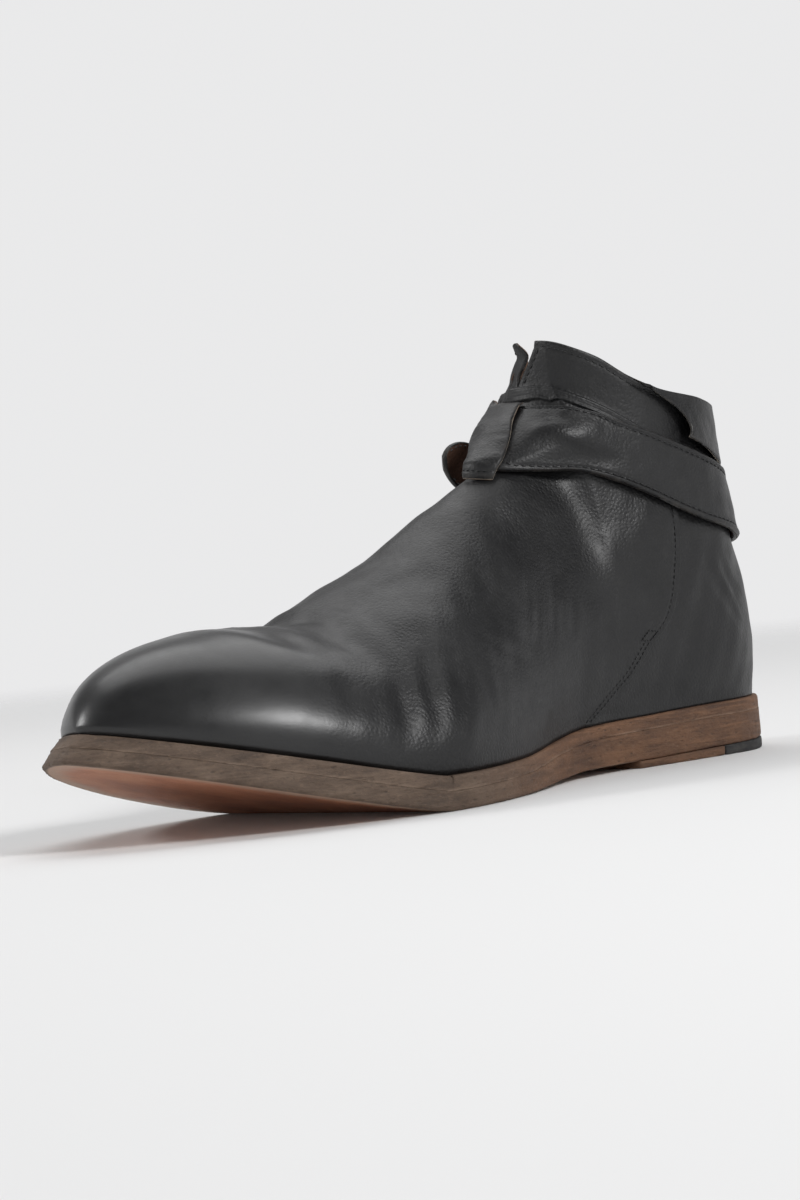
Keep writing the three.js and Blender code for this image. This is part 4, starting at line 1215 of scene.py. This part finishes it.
def stack(name, line, out, levels, spine, finishes, stands_for, slot, layers=()):
    """Rings of an outline, each moved in along its outward direction, raised to a height that
    depends on the length, set back at the toe, and worn by waves; both faces close by rings that
    shrink towards a spine."""
    arc = run_of(np.concatenate([line, line[:1]]))[:-1]
    rings, rims, layer = [], [], []
    heights = [level[1] for level in levels]
    middle = spine(line)
    for shrink in (0.0, 0.3, 0.55, 0.72, 0.84, 0.92, 0.965, 0.985):
        flat = middle + (line - levels[0][0] * out - middle) * shrink
        rings.append((flat, heights[0], levels[0][2]))
        rims.append(np.linalg.norm(line - flat, axis=1))
        layer.append(np.full(len(line), 9.0))
    sides = len(rings)
    for k, (inset, height, back, wear) in enumerate(levels):
        worn = wear * (0.6 * waves(arc, 60 + k // 2, (9, 34)) + 0.4 * waves(arc, 70 + k, (2.5, 7)))
        rings.append((line - out * (inset + worn)[:, None], height, back))
        rims.append(np.full(len(line), 0.05))
        layer.append(np.full(len(line), 9.0))
    for shrink in (0.96, 0.85, 0.6, 0.3, 0.0):
        flat = middle + (line - levels[-1][0] * out - middle) * shrink
        rings.append((flat, heights[-1], levels[-1][2]))
        rims.append(np.linalg.norm(line - flat, axis=1))
        layer.append(np.full(len(line), 9.0))
    points = []
    for flat, height, back in rings:
        s = np.clip(flat[:, 0] / LENGTH, 0, 1)
        x = flat[:, 0] - back * smooth(0.78, 1, s)
        points.append(bend(x, flat[:, 1], height(s) + 0 * s, 0.0))
    points = np.array(points)
    wall = points[sides:sides + len(levels)]
    depth = run_of(wall)
    rim = np.array(rims)
    rim[sides:sides + len(levels)] = depth
    lines = np.array(layer)
    lines[sides:sides + len(levels)] = np.minimum(depth[-1:] - depth, 9)
    n, m = points.shape[:2]
    ids = np.arange(n * m).reshape(n, m)
    turn = np.roll(ids, -1, axis=1)
    faces = quads(ids[:-1], turn[:-1], turn[1:], ids[1:])
    finish = np.repeat(np.where(np.arange(n - 1) < sides, 1, 0), m)
    return piece(name, points.reshape(-1, 3), faces, finishes, finish,
                 {"rim": rim, "layer": lines}, stands_for, slot)


def along_middle(width, near, far):
    """Spine of a plate: the middle of its width, kept clear of both ends."""
    def spine(line):
        x = np.clip(line[:, 0], near, far)
        return np.stack([x, (width(x, 1.0) - width(x, -1.0)) / 2], -1)
    return spine


def to_point(x, y):
    return lambda line: np.tile([float(x), float(y)], (len(line), 1))


outsole_top = lambda s: sole_top(s) - MIDSOLE
blend_of = lambda low, high, share: (lambda s: low(s) * (1 - share) + high(s) * share)


def sole_pieces():
    line, out = outline(half_width, 0, LENGTH, 420)
    low = lambda rise: (lambda s: underside(s) + rise)
    high = lambda drop: (lambda s: outsole_top(s) - drop)
    half_back = TOE_SET_BACK * 0.5
    levels = [(1.25, low(0.0), 0, 0.16), (0.62, low(0.16), 0, 0.20), (0.22, low(0.5), 0, 0.20),
              (0.02, low(1.1), 0.1 * half_back, 0.16)]
    levels += [(0.0, blend_of(low(1.1), high(0.5), k), half_back * (0.1 + 0.8 * k), 0.13)
               for k in (0.2, 0.4, 0.6, 0.8, 1.0)]
    levels += [(0.02, high(0.14), half_back, 0.13), (0.10, high(0.0), half_back, 0.13)]
    stack("outsole_leather", line, out, levels, along_middle(half_width, 42, 232),
          [SOLE_EDGE, SOLE_BOTTOM], ["outsole"], "sole_leather")
    top = lambda drop: (lambda s: sole_top(s) - drop)
    base_of = lambda rise: (lambda s: outsole_top(s) + rise)
    levels = [(0.20, base_of(0.0), half_back, 0.13), (0.12, base_of(0.14), half_back, 0.13)]
    levels += [(0.10, blend_of(base_of(0.4), top(0.9), k), half_back * (1 + k), 0.13)
               for k in (0.0, 0.25, 0.5, 0.75, 1.0)]
    levels += [(0.26, top(0.42), TOE_SET_BACK, 0.16), (0.62, top(0.13), TOE_SET_BACK, 0.18),
               (1.15, top(0.0), TOE_SET_BACK, 0.15)]
    stack("midsole_leather", line, out, levels, along_middle(half_width, 42, 232),
          [SOLE_EDGE, SOLE_EDGE], ["midsole"], "sole_leather")


def heel_pieces():
    flat = lambda z: (lambda s: z + 0 * s)
    top = lambda drop: (lambda s: underside(s) - drop)

    def heel_levels(wear):
        return [(0.62, flat(0.0), 0, wear), (0.25, flat(0.14), 0, wear), (0.06, flat(0.5), 0, wear),
                (0.0, flat(1.0), 0, wear), (0.0, top(0.7), 0, wear), (0.05, top(0.2), 0, wear),
                (0.2, top(0.03), 0, wear)]

    line, out = squared_outline(half_width, 0.02, HEEL_JOINT * LENGTH - 0.12, 300)
    stack("heel_rubber_block", line, out, heel_levels(0.08), to_point(21, 0),
          [HEEL_RUBBER, HEEL_RUBBER], ["heel_rubber_tip"], "heel_rubber")
    line, out = squared_outline(half_width, HEEL_JOINT * LENGTH + 0.12, HEEL_BREAST * LENGTH, 300)
    stack("heel_lift_leather", line, out, heel_levels(0.13), to_point(61.5, 0),
          [SOLE_EDGE, SOLE_BOTTOM], ["heel_lift"], "sole_leather")


def insole_piece():
    start, end = HEEL_IN + WALL + 1.2, LENGTH - TOE_IN - WALL - 6.5

    def width(x, side):
        near = np.clip(np.minimum(x - start, end - x) / 9, 0, 1)
        return (upper_width(x, side) - WALL - 0.9) * np.sqrt(near * (2 - near))

    line, out = outline(width, start, end, 200)
    floor = lambda rise: (lambda s: sole_top(s) + FIT_GAP + rise)
    levels = [(0.3, floor(0.1), 0, 0), (0.0, floor(0.4), 0, 0), (0.0, floor(2.2), 0, 0.05),
              (0.35, floor(2.6), 0, 0.05)]
    stack("insole_leather", line, out, levels, along_middle(width, 42, 232),
          [LINING, LINING], ["insole"], "lining_leather")


sole_pieces()
heel_pieces()
insole_piece()


# ---------------------------------------------------------------- floor, camera and light
def studio_floor():
    """Wide round floor at the boot's feet, which fades into the pale background far away."""
    m = Finish("pale_floor")
    far = m.node("ShaderNodeVectorMath", {"operation": "LENGTH"}, [m.place], "Value")
    clear = m.node("ShaderNodeBsdfTransparent")
    m.give(Base_Color=(0.80, 0.80, 0.80, 1), Roughness=0.9, Specular_IOR_Level=0.0)
    shown = Wire(m, m.shader.outputs[0])
    mixed = m.node("ShaderNodeMixShader", {}, [far.step(0.55, 1.9), shown, clear])
    m.tree.links.new(mixed.socket, m.tree.nodes["Material Output"].inputs["Surface"])
    turn = np.linspace(0, 2 * np.pi, 97)[:-1]
    radius = np.array([0.0, 0.5, 1.2, 2.4, 4.5])
    points = np.stack([radius[:, None] * np.cos(turn), radius[:, None] * np.sin(turn),
                       np.zeros((5, 96))], -1)
    ids = np.arange(5 * 96).reshape(5, 96)
    side = np.roll(ids, -1, axis=1)
    faces = quads(ids[:-1], ids[1:], side[1:], side[:-1])
    mesh = bpy.data.meshes.new("studio_floor")
    mesh.from_pydata(points.reshape(-1, 3).tolist(), [], faces.tolist())
    mesh.materials.append(m.material)
    form = bmesh.new()
    form.from_mesh(mesh)
    bmesh.ops.remove_doubles(form, verts=form.verts, dist=1e-6)
    form.to_mesh(mesh)
    form.free()
    floor = bpy.data.objects.new("studio_floor", mesh)
    bpy.context.scene.collection.objects.link(floor)


def place_camera():
    """Camera on the toe's outer side, 70 mm up, with a long lens and a roll of five degrees."""
    distance, turn, height = 912.893, 0.784119, 69.656
    yaw, pitch, roll, focal = 0.0065082, 0.0070148, -0.0916325, 2834.39
    at = np.array([0.5 * LENGTH + distance * math.cos(turn), distance * math.sin(turn), height])
    ahead = -np.array([math.cos(turn + yaw) * math.cos(pitch),
                       math.sin(turn + yaw) * math.cos(pitch), math.sin(pitch)])
    right = np.cross(ahead, [0, 0, 1])
    right /= np.linalg.norm(right)
    up = np.cross(right, ahead)
    rolled_right = right * math.cos(roll) + up * math.sin(roll)
    rolled_up = up * math.cos(roll) - right * math.sin(roll)
    data = bpy.data.cameras.new("photo_camera")
    data.sensor_fit = "VERTICAL"
    data.sensor_height = 36
    data.lens = 36 * focal / 1200
    data.clip_start = 0.01
    camera = bpy.data.objects.new("photo_camera", data)
    frame_of = np.eye(4)
    frame_of[:3, :3] = np.stack([rolled_right, rolled_up, -ahead], 1)
    frame_of[:3, 3] = (at + SHIFT) * 0.001
    camera.matrix_world = Matrix(frame_of.tolist())
    bpy.context.scene.collection.objects.link(camera)
    bpy.context.scene.camera = camera


def soft_light(name, azimuth, elevation, distance, size, power, aim=(0.0, 0.0, 0.06), tone=1.0):
    """Rectangle of light that looks at a point of the boot from a direction in degrees."""
    a, e = math.radians(azimuth), math.radians(elevation)
    way = Vector((math.cos(a) * math.cos(e), math.sin(a) * math.cos(e), math.sin(e)))
    data = bpy.data.lights.new(name, "AREA")
    data.shape = "RECTANGLE"
    data.size, data.size_y = size
    data.energy = power
    data.color = (1.0, 1.0 * tone, 1.0 * tone)
    lamp = bpy.data.objects.new(name, data)
    lamp.location = Vector(aim) + way * distance
    lamp.rotation_euler = way.to_track_quat("Z", "Y").to_euler()
    bpy.context.scene.collection.objects.link(lamp)


def studio_light():
    room = Finish("pale_room", bpy.data.worlds.new("pale_room"))
    height = room.axis("Z").step(0.20, 0.46)
    room.give(Color=room.mix(height, (0.82, 0.82, 0.825), (0.13, 0.13, 0.133)))
    bpy.context.scene.world = room.material
    soft_light("side_window", 92, 36, 1.5, (0.46, 0.36), 12)
    soft_light("front_window", -40, 32, 1.6, (0.36, 0.28), 6.5)
    soft_light("top_sheet", 225, 66, 1.7, (2.0, 1.6), 19)


studio_floor()
place_camera()
studio_light()
bpy.context.scene.view_settings.view_transform = "Standard"
